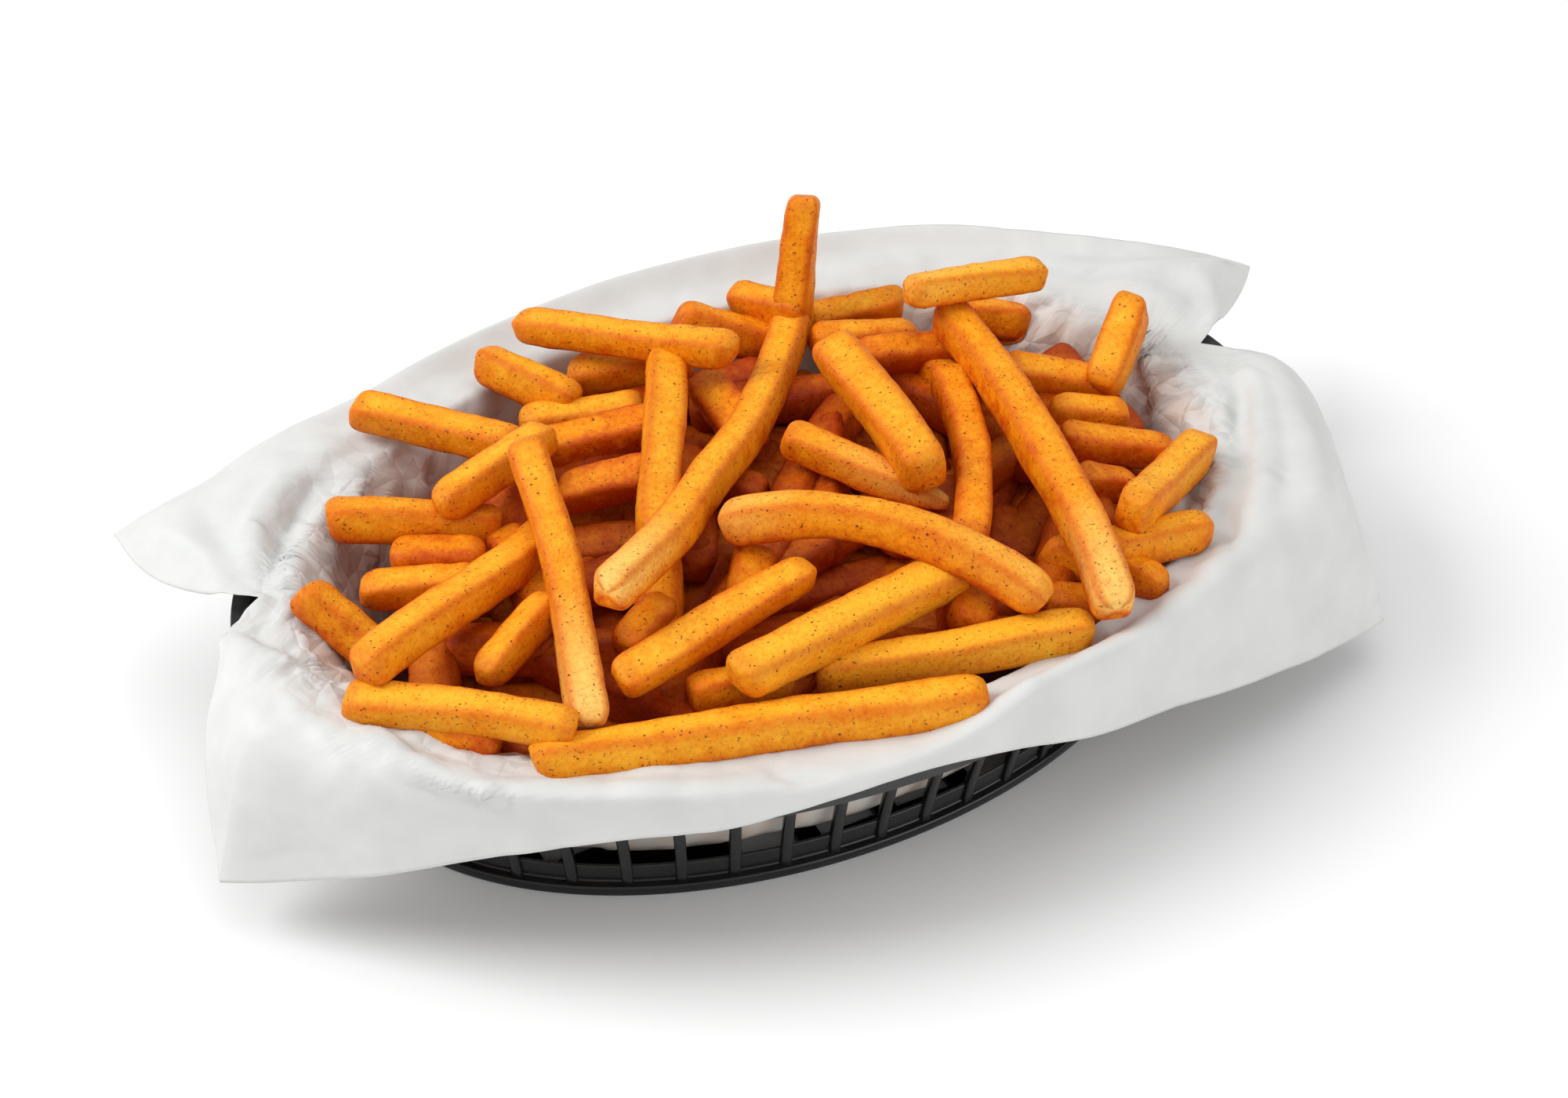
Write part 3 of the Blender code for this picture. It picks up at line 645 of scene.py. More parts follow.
@dataclass
class Basket:
    """The moulded oval basket: a foot band, a pierced floor, flared ribs and a flat rim with a lip."""

    rim_half: tuple[float, float] = (117.5 * MM, 76.2 * MM)
    foot_half: tuple[float, float] = (94.6 * MM, 58.4 * MM)
    height: float = 44.5 * MM
    rim_width: float = 8.0 * MM
    lip: float = 7.0 * MM
    wall: float = 1.8 * MM
    flare: float = 1.45
    rib_count: int = 44
    rib_phase: float = 0.5
    rib_width: float = 2.4 * MM
    foot_band: float = 8.0 * MM
    foot_step: tuple[float, float] = (2.4 * MM, 1.0 * MM)
    groove_depth: float = 0.9 * MM
    floor_thick: float = 2.0 * MM
    floor_hole: float = 13.0 * MM
    floor_pitch: float = 18.0 * MM
    columns: int = 240
    finish: MouldedPolypropylene = field(default_factory=MouldedPolypropylene)

    def wall_half(self, height: float) -> tuple[float, float]:
        """Half sizes of the wall's outer face at a height: it flares towards the rim."""
        share = (min(max(height, 0.0), self.height) / self.height) ** self.flare
        return tuple(foot + (rim - self.rim_width - foot) * share
                     for foot, rim in zip(self.foot_half, self.rim_half))

    def ring(self, name: str, profile: list[tuple[tuple[float, float], float]],
             material: bpy.types.Material) -> bpy.types.Object:
        """Sweeps a closed profile round the oval.

        Args:
            name: the piece's name.
            profile: the half sizes and height of each of its corners, anticlockwise seen along the sweep.
            material: its finish.

        Returns:
            The ring, its corners rounded.
        """
        angles = even_angles(self.rim_half, self.columns)
        verts = [(*oval_point(half, angle), height) for half, height in profile for angle in angles]
        around = len(angles)
        faces = grid_faces(len(profile), around)
        last = (len(profile) - 1) * around
        for i in range(around):
            after = (i + 1) % around
            faces.append((last + i, last + after, after, i))
        return rounded(new_piece(name, np.array(verts), faces, material), 0.5 * MM, 3, 35.0)

    def rim(self, material: bpy.types.Material) -> bpy.types.Object:
        """Makes the flat rim with its lip and the top of the wall.

        Args:
            material: its finish.

        Returns:
            The rim.
        """
        outer, top, under = self.rim_half, self.height, self.height - self.wall
        low = self.height - self.lip
        neck = self.wall_half(under)
        profile = [(outer, low), (outer, top), (grown(neck, -self.wall), top),
                   (grown(self.wall_half(under - self.wall), -self.wall), under - self.wall),
                   (self.wall_half(under - self.wall), under - self.wall), (neck, under),
                   (grown(outer, -self.wall), under), (grown(outer, -self.wall), low)]
        return self.ring("basket_rim", profile, material)

    def foot(self, material: bpy.types.Material) -> bpy.types.Object:
        """Makes the band round the foot, with its small step.

        Args:
            material: its finish.

        Returns:
            The band.
        """
        step_height, step_out = self.foot_step
        stepped = grown(self.foot_half, step_out)
        sunk = [grown(self.wall_half(level), -self.groove_depth) for level in (step_height, self.foot_band)]
        profile = [(stepped, 0.0), (stepped, step_height), (sunk[0], step_height + 0.6 * MM),
                   (sunk[1], self.foot_band),
                   (grown(self.wall_half(self.foot_band), -self.wall), self.foot_band),
                   (grown(self.foot_half, -self.wall), 0.0)]
        return self.ring("basket_foot", profile, material)

    def rib_tree(self) -> tuple[bpy.types.NodeTree, dict[str, str]]:
        """Builds the nodes that stand the ribs round the oval and lean each one along the flare.

        Returns:
            The tree, and the identifier of each of its named inputs.
        """
        names = {"Rib Count": "NodeSocketInt", "Rib Width": "NodeSocketFloat", "Wall": "NodeSocketFloat",
                 "Rim Half": "NodeSocketVector", "First Turn": "NodeSocketVector",
                 "Foot Half": "NodeSocketVector", "Top Half": "NodeSocketVector", "Height": "NodeSocketFloat",
                 "Rib Foot": "NodeSocketFloat", "Rib Top": "NodeSocketFloat", "Flare": "NodeSocketFloat",
                 "Finish": "NodeSocketMaterial"}
        tree, sockets = node_group("basket_ribs", names, "Ribs")
        given = add_node(tree, "NodeGroupInput").outputs
        circle = add_node(tree, "GeometryNodeCurvePrimitiveCircle", {"Resolution": 256, "Radius": 1.0})
        turned_circle = add_node(tree, "GeometryNodeTransform", {"Geometry": circle.outputs["Curve"],
                                                                 "Rotation": given["First Turn"]})
        oval = add_node(tree, "GeometryNodeTransform", {"Geometry": turned_circle.outputs[0],
                                                        "Scale": given["Rim Half"]})
        spread = add_node(tree, "GeometryNodeCurveToPoints",
                          {"Curve": oval.outputs[0], "Count": given["Rib Count"]}, mode="COUNT")
        spot = add_node(tree, "GeometryNodeInputPosition").outputs[0]
        named = add_node(tree, "GeometryNodeStoreNamedAttribute",
                         {"Geometry": spread.outputs["Points"], "Name": "rib_place", "Value": spot},
                         data_type="FLOAT_VECTOR", domain="POINT")
        outward = aimed(tree, "CROSS_PRODUCT", {0: spread.outputs["Tangent"], 1: (0.0, 0.0, 1.0)})
        turned = add_node(tree, "FunctionNodeAlignRotationToVector", {"Vector": outward}, axis="X")
        tall = calc(tree, "SUBTRACT", given["Rib Top"], given["Rib Foot"])
        size = add_node(tree, "ShaderNodeCombineXYZ", {0: given["Wall"], 1: given["Rib Width"], 2: tall})
        bar = add_node(tree, "GeometryNodeMeshCube", {"Size": size.outputs[0], "Vertices Z": 12})
        middle = calc(tree, "MULTIPLY", calc(tree, "ADD", given["Rib Top"], given["Rib Foot"]), 0.5)
        raised = add_node(tree, "GeometryNodeTransform", {
            "Geometry": bar.outputs["Mesh"],
            "Translation": add_node(tree, "ShaderNodeCombineXYZ", {2: middle}).outputs[0]})
        stood = add_node(tree, "GeometryNodeInstanceOnPoints", {
            "Points": named.outputs[0], "Instance": raised.outputs[0], "Rotation": turned.outputs[0]})
        real = add_node(tree, "GeometryNodeRealizeInstances", {"Geometry": stood.outputs[0]})
        spot = add_node(tree, "GeometryNodeInputPosition").outputs[0]
        root = add_node(tree, "GeometryNodeInputNamedAttribute", {"Name": "rib_place"},
                        data_type="FLOAT_VECTOR").outputs[0]
        heading = aimed(tree, "NORMALIZE", {0: root})
        rise = add_node(tree, "ShaderNodeSeparateXYZ", {0: spot}).outputs[2]
        share = calc(tree, "POWER", calc(tree, "DIVIDE", rise, given["Height"], clamp=True), given["Flare"])
        half = add_node(tree, "ShaderNodeMix", {0: share, 4: given["Foot Half"], 5: given["Top Half"]},
                        data_type="VECTOR").outputs[1]
        scaled = aimed(tree, "DIVIDE", {0: heading, 1: half})
        length = add_node(tree, "ShaderNodeVectorMath", {0: scaled}, operation="LENGTH").outputs["Value"]
        reach = calc(tree, "SUBTRACT", calc(tree, "DIVIDE", 1.0, length),
                     calc(tree, "MULTIPLY", given["Wall"], 0.5))
        target = aimed(tree, "SCALE", {0: heading, "Scale": reach})
        move = aimed(tree, "SUBTRACT", {0: target, 1: root})
        placed = add_node(tree, "GeometryNodeSetPosition", {"Geometry": real.outputs[0], "Offset": move})
        dressed = add_node(tree, "GeometryNodeSetMaterial", {"Geometry": placed.outputs[0],
                                                             "Material": given["Finish"]})
        add_node(tree, "NodeGroupOutput", {0: dressed.outputs[0]})
        return tree, sockets

    def ribs(self, material: bpy.types.Material) -> bpy.types.Object:
        """Makes the ribs between the foot band and the rim.

        Args:
            material: their finish.

        Returns:
            The ribs as one piece.
        """
        obj = new_piece("basket_ribs", np.zeros((0, 3)), [], material, smooth=False)
        top_half = self.wall_half(self.height)
        first = even_angles(self.rim_half, self.rib_count, self.rib_phase)[0]
        turn = math.atan2(math.sin(first) / self.rim_half[1], math.cos(first) / self.rim_half[0])
        values = {"Rib Count": self.rib_count, "Rib Width": self.rib_width, "Wall": self.wall,
                  "Rim Half": (*self.rim_half, 1.0), "First Turn": (0.0, 0.0, turn),
                  "Foot Half": (*self.foot_half, 1.0), "Top Half": (*top_half, 1.0), "Height": self.height,
                  "Rib Foot": self.foot_step[0] - 0.6 * MM, "Rib Top": self.height - self.wall - 0.4 * MM,
                  "Flare": self.flare, "Finish": material}
        grow(obj, self.rib_tree(), values)
        rounded(obj, 0.45 * MM, 2)
        obj.data.shade_smooth()
        obj.data.set_sharp_from_angle(angle=math.radians(50))
        return obj

    def floor(self, material: bpy.types.Material) -> bpy.types.Object:
        """Makes the floor's crossing bars and the plain ring round them.

        Args:
            material: their finish.

        Returns:
            The floor as one piece.
        """
        half = grown(self.foot_half, -0.5 * self.wall)
        plate = bmesh.new()
        outline = [plate.verts.new((*oval_point(half, angle), 0.0))
                   for angle in even_angles(self.foot_half, 120)]
        face = plate.faces.new(outline)
        raised = bmesh.ops.extrude_face_region(plate, geom=[face])
        moved = [item for item in raised["geom"] if isinstance(item, bmesh.types.BMVert)]
        bmesh.ops.translate(plate, verts=moved, vec=(0.0, 0.0, self.floor_thick))
        bmesh.ops.recalc_face_normals(plate, faces=plate.faces)
        posts = bmesh.new()
        reach = grown(self.foot_half, -self.wall)
        steps = int(self.foot_half[0] / self.floor_pitch) + 1
        for column in range(-steps, steps):
            for row in range(-steps, steps):
                centre = ((column + 0.5) * self.floor_pitch, (row + 0.5) * self.floor_pitch)
                far = tuple(abs(value) + 0.5 * self.floor_hole for value in centre)
                if math.hypot(far[0] / reach[0], far[1] / reach[1]) > 1.0:
                    continue
                made = bmesh.ops.create_cube(posts, size=self.floor_hole)
                bmesh.ops.translate(posts, verts=made["verts"], vec=(*centre, 0.0))
        pieces = []
        for name, bm in (("basket_floor", plate), ("floor_posts", posts)):
            mesh = bpy.data.meshes.new(name)
            bm.to_mesh(mesh)
            bm.free()
            mesh.materials.append(material)
            pieces.append(in_scene(name, mesh))
        floor, cutter = pieces
        cut = floor.modifiers.new("holes", "BOOLEAN")
        cut.operation = "DIFFERENCE"
        cut.object = cutter
        rounded(floor, 0.4 * MM, 2)
        bpy.data.objects.remove(cutter)
        floor.data.shade_smooth()
        floor.data.set_sharp_from_angle(angle=math.radians(40))
        return floor

    def build(self) -> None:
        """Builds the basket's pieces, which stand for its node."""
        material = self.finish.make()
        makers = (self.rim, self.foot, self.ribs, self.floor)
        pieces = [settled(maker(material)) for maker in makers]
        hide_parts("basket")


# The paper


@dataclass(frozen=True)
class HemPoint:
    """A place on the sheet's edge: where the photograph shows it and how high it is."""

    pixel: tuple[float, float]
    height: float
    corner: bool = False


HEM = [
    HemPoint((1700, 575), 37 * MM),
    HemPoint((1646, 470), 43 * MM),
    HemPoint((1575, 447), 45.8 * MM, corner=True),
    HemPoint((1531, 441), 45.8 * MM, corner=True),
    HemPoint((1546, 420), 45.6 * MM, corner=True),
    HemPoint((1588, 350), 34 * MM, corner=True),
    HemPoint((1484, 319), 43 * MM),
    HemPoint((1328, 299), 47 * MM),
    HemPoint((1171, 293), 48 * MM),
    HemPoint((948, 319), 48 * MM),
    HemPoint((680, 397), 47 * MM),
    HemPoint((468, 503), 46 * MM),
    HemPoint((300, 595), 41 * MM),
    HemPoint((152, 686), 32 * MM, corner=True),
    HemPoint((212, 745), 38 * MM),
    HemPoint((291, 764), 45.6 * MM, corner=True),
    HemPoint((330, 772), 45.8 * MM, corner=True),
    HemPoint((291, 810), 45.2 * MM, corner=True),
    HemPoint((267, 960), 32 * MM),
    HemPoint((281, 1125), 12 * MM, corner=True),
    HemPoint((435, 1121), 21 * MM),
    HemPoint((658, 1089), 34 * MM),
    HemPoint((900, 1058), 40.3 * MM),
    HemPoint((1216, 972), 43 * MM),
    HemPoint((1480, 908), 28 * MM),
    HemPoint((1605, 865), 20.5 * MM),
    HemPoint((1690, 831), 15.5 * MM),
    HemPoint((1766, 790), 10.5 * MM, corner=True),
]


@dataclass(frozen=True)
class Crease:
    """A fold of the sheet along a line in the photograph: a ridge where it rises, a valley where it sinks."""

    path: tuple[tuple[float, float], ...]
    width: float
    rise: float
    inside: bool = False

    def lift(self, pixels: np.ndarray, pixel_size: float) -> np.ndarray:
        """Works out how far the crease raises the sheet.

        Args:
            pixels: where the photograph shows each place of the sheet.
            pixel_size: a pixel's size at the sheet.

        Returns:
            The rise at each place.
        """
        nodes = np.array(self.path, float)
        runs = np.concatenate([[0.0], np.cumsum(np.linalg.norm(np.diff(nodes, axis=0), axis=1))])
        best, along = np.full(len(pixels), np.inf), np.zeros(len(pixels))
        for number, (start, end) in enumerate(zip(nodes, nodes[1:])):
            step = end - start
            share = np.clip(((pixels - start) @ step) / (step @ step), 0.0, 1.0)
            gap = np.linalg.norm(pixels - start - share[:, None] * step, axis=1)
            nearer = gap < best
            best = np.where(nearer, gap, best)
            along = np.where(nearer, runs[number] + share * (runs[number + 1] - runs[number]), along)
        fade = np.sin(math.pi * np.clip(along / runs[-1], 0.0, 1.0)) ** 0.6
        return self.rise * fade * np.exp(-(best * pixel_size / self.width) ** 2)


CREASES = [
    Crease(((392, 880), (470, 950), (560, 995), (660, 1022)), 1.9 * MM, 1.5 * MM),
    Crease(((404, 915), (480, 978), (570, 1022), (680, 1046)), 1.8 * MM, -0.8 * MM),
    Crease(((596, 992), (602, 1032)), 1.3 * MM, -0.9 * MM),
    Crease(((618, 996), (630, 1036)), 1.3 * MM, 1.0 * MM),
    Crease(((640, 1002), (654, 1034)), 1.3 * MM, -0.9 * MM),
    Crease(((300, 792), (345, 826), (378, 834)), 1.6 * MM, -1.2 * MM),
    Crease(((298, 822), (352, 852), (402, 876)), 2.0 * MM, 1.5 * MM),
    Crease(((300, 852), (350, 905), (430, 985)), 3.0 * MM, -1.2 * MM),
    Crease(((292, 880), (330, 980), (350, 1090)), 6.0 * MM, 1.3 * MM),
    Crease(((306, 742), (235, 692), (178, 676)), 3.0 * MM, 1.4 * MM),
    Crease(((312, 744), (262, 650), (290, 612)), 3.5 * MM, -1.4 * MM),
    Crease(((326, 752), (322, 670), (372, 596)), 2.4 * MM, 1.5 * MM),
    Crease(((345, 765), (352, 690), (402, 622)), 1.8 * MM, -1.0 * MM),
    Crease(((362, 800), (372, 720), (425, 640)), 1.8 * MM, 1.3 * MM),
    Crease(((450, 590), (398, 668), (380, 742)), 1.8 * MM, 2.2 * MM, inside=True),
    Crease(((476, 580), (432, 660), (404, 740)), 1.6 * MM, 1.8 * MM, inside=True),
    Crease(((500, 600), (462, 690), (470, 730)), 1.4 * MM, 1.5 * MM, inside=True),
    Crease(((355, 760), (378, 840), (412, 900)), 1.8 * MM, 2.0 * MM, inside=True),
    Crease(((540, 560), (520, 620), (530, 660)), 1.6 * MM, 1.4 * MM, inside=True),
    Crease(((1530, 446), (1496, 466), (1446, 476)), 1.6 * MM, 1.8 * MM, inside=True),
    Crease(((1540, 458), (1510, 492), (1478, 520)), 1.5 * MM, 2.0 * MM, inside=True),
    Crease(((1548, 476), (1536, 520), (1520, 560)), 1.5 * MM, 2.0 * MM, inside=True),
    Crease(((1570, 520), (1560, 600), (1562, 690)), 1.8 * MM, 1.6 * MM, inside=True),
    Crease(((1446, 420), (1486, 500), (1500, 560)), 1.8 * MM, 1.5 * MM, inside=True),
    Crease(((1372, 352), (1388, 380), (1420, 400)), 1.6 * MM, 1.4 * MM, inside=True),
    Crease(((1562, 458), (1584, 500), (1580, 600)), 2.2 * MM, -1.2 * MM),
    Crease(((1576, 452), (1608, 510), (1614, 620)), 2.8 * MM, 1.6 * MM),
    Crease(((1586, 452), (1636, 540), (1640, 680)), 3.2 * MM, -1.3 * MM),
    Crease(((1594, 452), (1672, 560), (1690, 720)), 4.0 * MM, 1.3 * MM),
    Crease(((1555, 640), (1572, 672), (1566, 704)), 1.6 * MM, -1.2 * MM),
    Crease(((1500, 780), (1580, 830), (1690, 830)), 5.0 * MM, 1.1 * MM),
    Crease(((1545, 428), (1516, 372), (1470, 350)), 2.4 * MM, -1.1 * MM),
    Crease(((1550, 424), (1546, 372), (1520, 338)), 2.2 * MM, 1.2 * MM),
    Crease(((978, 984), (1018, 994), (1066, 988)), 1.5 * MM, -1.0 * MM),
    Crease(((520, 1060), (700, 1058), (900, 1034)), 4.0 * MM, -0.9 * MM),
    Crease(((1060, 350), (1120, 338), (1200, 336)), 2.0 * MM, 0.9 * MM),
]


@dataclass
class PaperLiner:
    """One sheet of deli paper, pressed into the basket and hanging over its rim as four lobes."""

    basket: Basket
    thick: float = 0.14 * MM
    gap: float = 0.35 * MM
    rim_clear: float = 0.8 * MM
    wall_clear: float = 1.0 * MM
    hem_clear: float = 1.2 * MM
    corner_radius: float = 6.0 * MM
    pleat_depth: float = 1.6 * MM
    pleat_count: int = 9
    pleat_spread: float = math.radians(34)
    columns: int = 480
    rows: int = 96
    crumple_cells: int = 420
    facet_size: float = 9.5 * MM
    facet_reach: tuple[float, float] = (15.0 * MM, 5.0 * MM)
    ridge: float = 3.4 * MM
    high_ridge: tuple[float, float] = (1290.0, 885.0)
    high_share: float = 1.35
    high_spread: float = math.radians(26)
    slack: float = 7.5 * MM
    sink: float = 0.5 * MM
    roll: float = 1.1 * MM
    roll_width: float = 4.0 * MM
    pixel_size: float = 0.167 * MM
    # Crumple heights on the wall, over the rim and on the lobes: along the sides, and more at the ends
    crumples: tuple[tuple[float, float], ...] = (
        (0.7 * MM, 3.4 * MM), (0.4 * MM, 2.0 * MM), (0.3 * MM, 0.5 * MM))
    facet_rise: tuple[float, float] = (0.2 * MM, 2.6 * MM)
    facet_depth: float = 40.0 * MM
    rim_reach: float = 9.0 * MM
    lobe_reach: float = 14.0 * MM
    waves_per_metre: float = 28.0
    wave_rise: float = 1.8 * MM
    oil_and_shade_reach: tuple[float, float] = (2.0 * MM, 8.0 * MM)
    oil_and_shade_share: float = 0.9
    seed: int = 11
    finish: GreaseproofPaper = field(default_factory=GreaseproofPaper)

    def hem_table(self) -> list[tuple[float, float, float, bool]]:
        """Lists the direction, radius, height and corner mark of the hem's points, by direction."""
        rows = []
        for point in HEM:
            place = VIEW.sight_point(point.pixel, point.height)
            angle = math.atan2(place[1], place[0]) % TAU
            rows.append((angle, math.hypot(place[0], place[1]), place[2], point.corner))
        return sorted(rows)

    @staticmethod
    def hem_at(table: list[tuple[float, float, float, bool]], angle: float) -> tuple[float, float]:
        """Finds the hem in a direction, smooth between corners and sharp at them.

        Args:
            table: the hem's points.
            angle: the direction.

        Returns:
            The hem's radius and height there.
        """
        count = len(table)
        angle %= TAU
        after = next((i for i, row in enumerate(table) if row[0] > angle), 0)
        one, two = table[after - 1], table[after]
        span = (two[0] - one[0]) % TAU
        share = ((angle - one[0]) % TAU) / span
        values = []
        for part in (1, 2):
            slope = (two[part] - one[part]) / span
            before, beyond = table[after - 2], table[(after + 1) % count]
            start = slope if one[3] else (two[part] - before[part]) / ((two[0] - before[0]) % TAU)
            finish = slope if two[3] else (beyond[part] - one[part]) / ((beyond[0] - one[0]) % TAU)
            cubic = share * share * (3.0 - 2.0 * share)
            leave = share * (1.0 - share) ** 2 * start * span
            arrive = share * share * (1.0 - share) * finish * span
            values.append(one[part] + (two[part] - one[part]) * cubic + leave - arrive)
        return values[0], values[1]

    def pleat(self, angle: float) -> float:
        """How far the paper stands off the wall: it is gathered into pleats at both ends of the oval."""
        off_axis = (angle + 0.5 * math.pi) % math.pi - 0.5 * math.pi
        if abs(off_axis) > self.pleat_spread:
            return 0.0
        window = math.cos(0.5 * math.pi * off_axis / self.pleat_spread) ** 2
        wave = 0.5 - 0.5 * math.cos(self.pleat_count * math.pi * off_axis / self.pleat_spread)
        return self.pleat_depth * window * wave

    def section(self, table: list[tuple[float, float, float, bool]], angle: float) -> np.ndarray:
        """Draws the paper's section in one direction, from the floor to the hem.

        Args:
            table: the hem's points.
            angle: the direction.

        Returns:
            Radius and height of its corners.
        """
        basket = self.basket
        floor = basket.floor_thick + self.gap + 0.3 * MM
        over = basket.height + self.rim_clear + 0.3 * MM
        stand = basket.wall + self.wall_clear
        foot = polar_oval(grown(basket.foot_half, -stand), angle)
        points = [(0.0, floor), (0.5 * foot, floor), (foot - 1.6 * self.corner_radius, floor),
                  (foot - 0.6 * self.corner_radius, floor + 2.0 * MM)]
        # At the ends of the oval the sheet hangs slack, clear of the wall
        slack = self.slack * abs(math.cos(angle)) ** 4
        for height, loose, tuck in ((9.0 * MM, 0.4, 0.8 * MM), (24.0 * MM, 1.0, 0.0),
                                    (basket.height - 4.0 * MM, 0.75, 0.0)):
            share = height / basket.height
            radius = polar_oval(grown(basket.wall_half(height), -stand), angle)
            points.append((radius - self.pleat(angle) * share - loose * slack - tuck, height))
        inner = polar_oval(grown(basket.wall_half(basket.height), -stand), angle) - 0.5 * self.pleat(angle)
        inner -= 0.25 * slack
        outer = polar_oval(grown(basket.rim_half, self.wall_clear), angle)
        radius, height = self.hem_at(table, angle)
        if height < basket.height:
            radius = max(radius, outer + self.hem_clear)
        edge = outer if height < basket.height else 0.5 * (inner + min(outer, radius))
        points += [(inner, over - 1.0 * MM), (inner + 0.4 * MM, over - 0.2 * MM), (inner + 1.4 * MM, over)]
        # Where the sheet turns down it stands off the rim as a soft ridge
        ridge = self.ridge * min(max((basket.height - height) / (6.0 * MM), 0.0), 1.0)
        # and highest where the long fries at the front lean against it
        place = VIEW.sight_point(self.high_ridge, basket.height)
        turn = (angle - math.atan2(place[1], place[0]) + math.pi) % TAU - math.pi
        ridge *= 1.0 + self.high_share * math.exp(-(turn / self.high_spread) ** 2)
        points += [(inner + 0.45 * (edge - inner), over + 0.15 * ridge),
                   (inner + 0.75 * (edge - inner), over + ridge), (edge, over + 0.9 * ridge)]
        bend = (edge + 0.55 * (radius - edge), over + 0.12 * max(radius - outer, 0.0))
        for step in range(1, 9):
            t = step / 8
            points.append(tuple((1 - t) ** 2 * a + 2 * t * (1 - t) * b + t * t * c
                                for a, b, c in zip((edge, over + 0.9 * ridge), bend, (radius, height))))
        return np.array(points)

    def even_rows(self, points: np.ndarray) -> np.ndarray:
        """Rounds a section's corners and divides it into even rows.

        Args:
            points: the section's corners.

        Returns:
            Its rows.
        """
        for _ in range(2):
            near, far = points[:-1], points[1:]
            cut = np.stack([0.75 * near + 0.25 * far, 0.25 * near + 0.75 * far], axis=1).reshape(-1, 2)
            points = np.vstack([points[:1], cut, points[-1:]])
        lengths = np.concatenate([[0.0], np.cumsum(np.linalg.norm(np.diff(points, axis=0), axis=1))])
        # Few rows on the hidden floor, most on the wall, the rim and the lobes
        start = float(np.interp(0.7 * points[:, 0].max(), points[:, 0], lengths)) * 0.85
        places = np.concatenate([np.linspace(0.0, start, 8)[1:],
                                 np.linspace(start, lengths[-1], self.rows - 7)[1:]])
        return np.stack([np.interp(places, lengths, points[:, axis]) for axis in (0, 1)], axis=1)

    def crumple(self, flat: np.ndarray, rng: np.random.Generator) -> np.ndarray:
        """Works out a crumpled height field: tilted facets that meet in sharp creases.

        Args:
            flat: places on the flat sheet.
            rng: the random source.

        Returns:
            Heights from zero to about one.
        """
        reach = np.abs(flat).max(axis=0)
        seeds = rng.uniform(-1.0, 1.0, (self.crumple_cells, 2)) * reach
        level = rng.uniform(0.0, 1.0, self.crumple_cells)
        result = np.zeros(len(flat))
        for first in range(0, len(flat), 4000):
            part = flat[first:first + 4000]
            gaps = np.linalg.norm(part[:, None, :] - seeds[None, :, :], axis=2)
            order = np.argsort(gaps, axis=1)[:, :3]
            near = np.take_along_axis(gaps, order, axis=1)
            weight = 1.0 / (near + 2.0 * MM) ** 2
            levels = level[order]
            blended = (weight * levels).sum(axis=1) / weight.sum(axis=1)
            ridge = np.clip((near[:, 1] - near[:, 0]) / (8.0 * MM), 0.0, 1.0)
            result[first:first + 4000] = 0.6 * blended + 0.4 * ridge
        return result

    def facets(self, flat: np.ndarray) -> np.ndarray:
        """Works out small sharp facets, as in paper that has been gathered and pressed flat again.

        Args:
            flat: places on the flat sheet.

        Returns:
            Heights from zero to about one.
        """
        result = np.empty(len(flat))
        for index, (x, y) in enumerate(flat):
            warp = 0.35 * noise.noise(Vector((x / self.facet_size, y / self.facet_size, 7.0)))
            gaps = noise.voronoi(Vector((x / self.facet_size + warp, y / self.facet_size - warp, 2.5)))[0]
            result[index] = gaps[1] - gaps[0]
        return np.clip(result / 0.9, 0.0, 1.0)

    def build(self) -> bpy.types.Object:
        """Builds the sheet, which stands for the liner's node.

        Returns:
            The sheet.
        """
        table = self.hem_table()
        corners = [row[0] for row in table if row[3]]
        even = [a for a in even_angles(self.basket.rim_half, self.columns)
                if min(abs(a - corner) for corner in corners) > math.radians(0.3)]
        angles = np.array(sorted(even + corners))
        sections = np.array([self.even_rows(self.section(table, angle)) for angle in angles])
        steps = np.gradient(sections, axis=1)
        normals = np.stack([-steps[..., 1], steps[..., 0]], axis=-1)
        normals /= np.linalg.norm(normals, axis=-1, keepdims=True)
        run = np.cumsum(np.linalg.norm(np.diff(sections, axis=1, prepend=sections[:, :1]), axis=-1), axis=1)
        flat = np.stack([run * np.cos(angles)[:, None], run * np.sin(angles)[:, None]], axis=-1)
        rng = np.random.default_rng(self.seed)
        crumple = self.crumple(flat.reshape(-1, 2), rng).reshape(run.shape)
        at_rim = np.argmax(sections[..., 1] > self.basket.height - 0.3 * MM, axis=1)
        beyond = run - run[np.arange(len(angles)), at_rim][:, None]
        inside = np.clip(-beyond / self.rim_reach, 0.0, 1.0)
        outside = np.clip((beyond - self.rim_reach) / self.lobe_reach, 0.0, 1.0)
        ends = np.abs(np.cos(angles))[:, None] ** 3
        zones = (inside, (1.0 - inside) * (1.0 - outside), outside)
        lift = sum(zone * crumple * (side + more * ends) for zone, (side, more) in zip(zones, self.crumples))
        facets = self.facets(flat.reshape(-1, 2)).reshape(run.shape)
        # The sheet is pressed flat again past the rim: sooner on the right than by the notch on the left
        reach = np.where(np.cos(angles) < 0.0, self.facet_reach[0], self.facet_reach[1])[:, None]
        gathered = np.clip(1.0 - beyond / reach, 0.0, 1.0) * np.clip(1.0 + beyond / self.facet_depth, 0.0, 1.0)
        lift += facets * gathered * (self.facet_rise[0] + self.facet_rise[1] * ends)
        waves = np.array([[noise.noise(Vector((x, y, 3.0))) for x, y in row]
                          for row in flat * self.waves_per_metre])
        lift += outside * waves * self.wave_rise
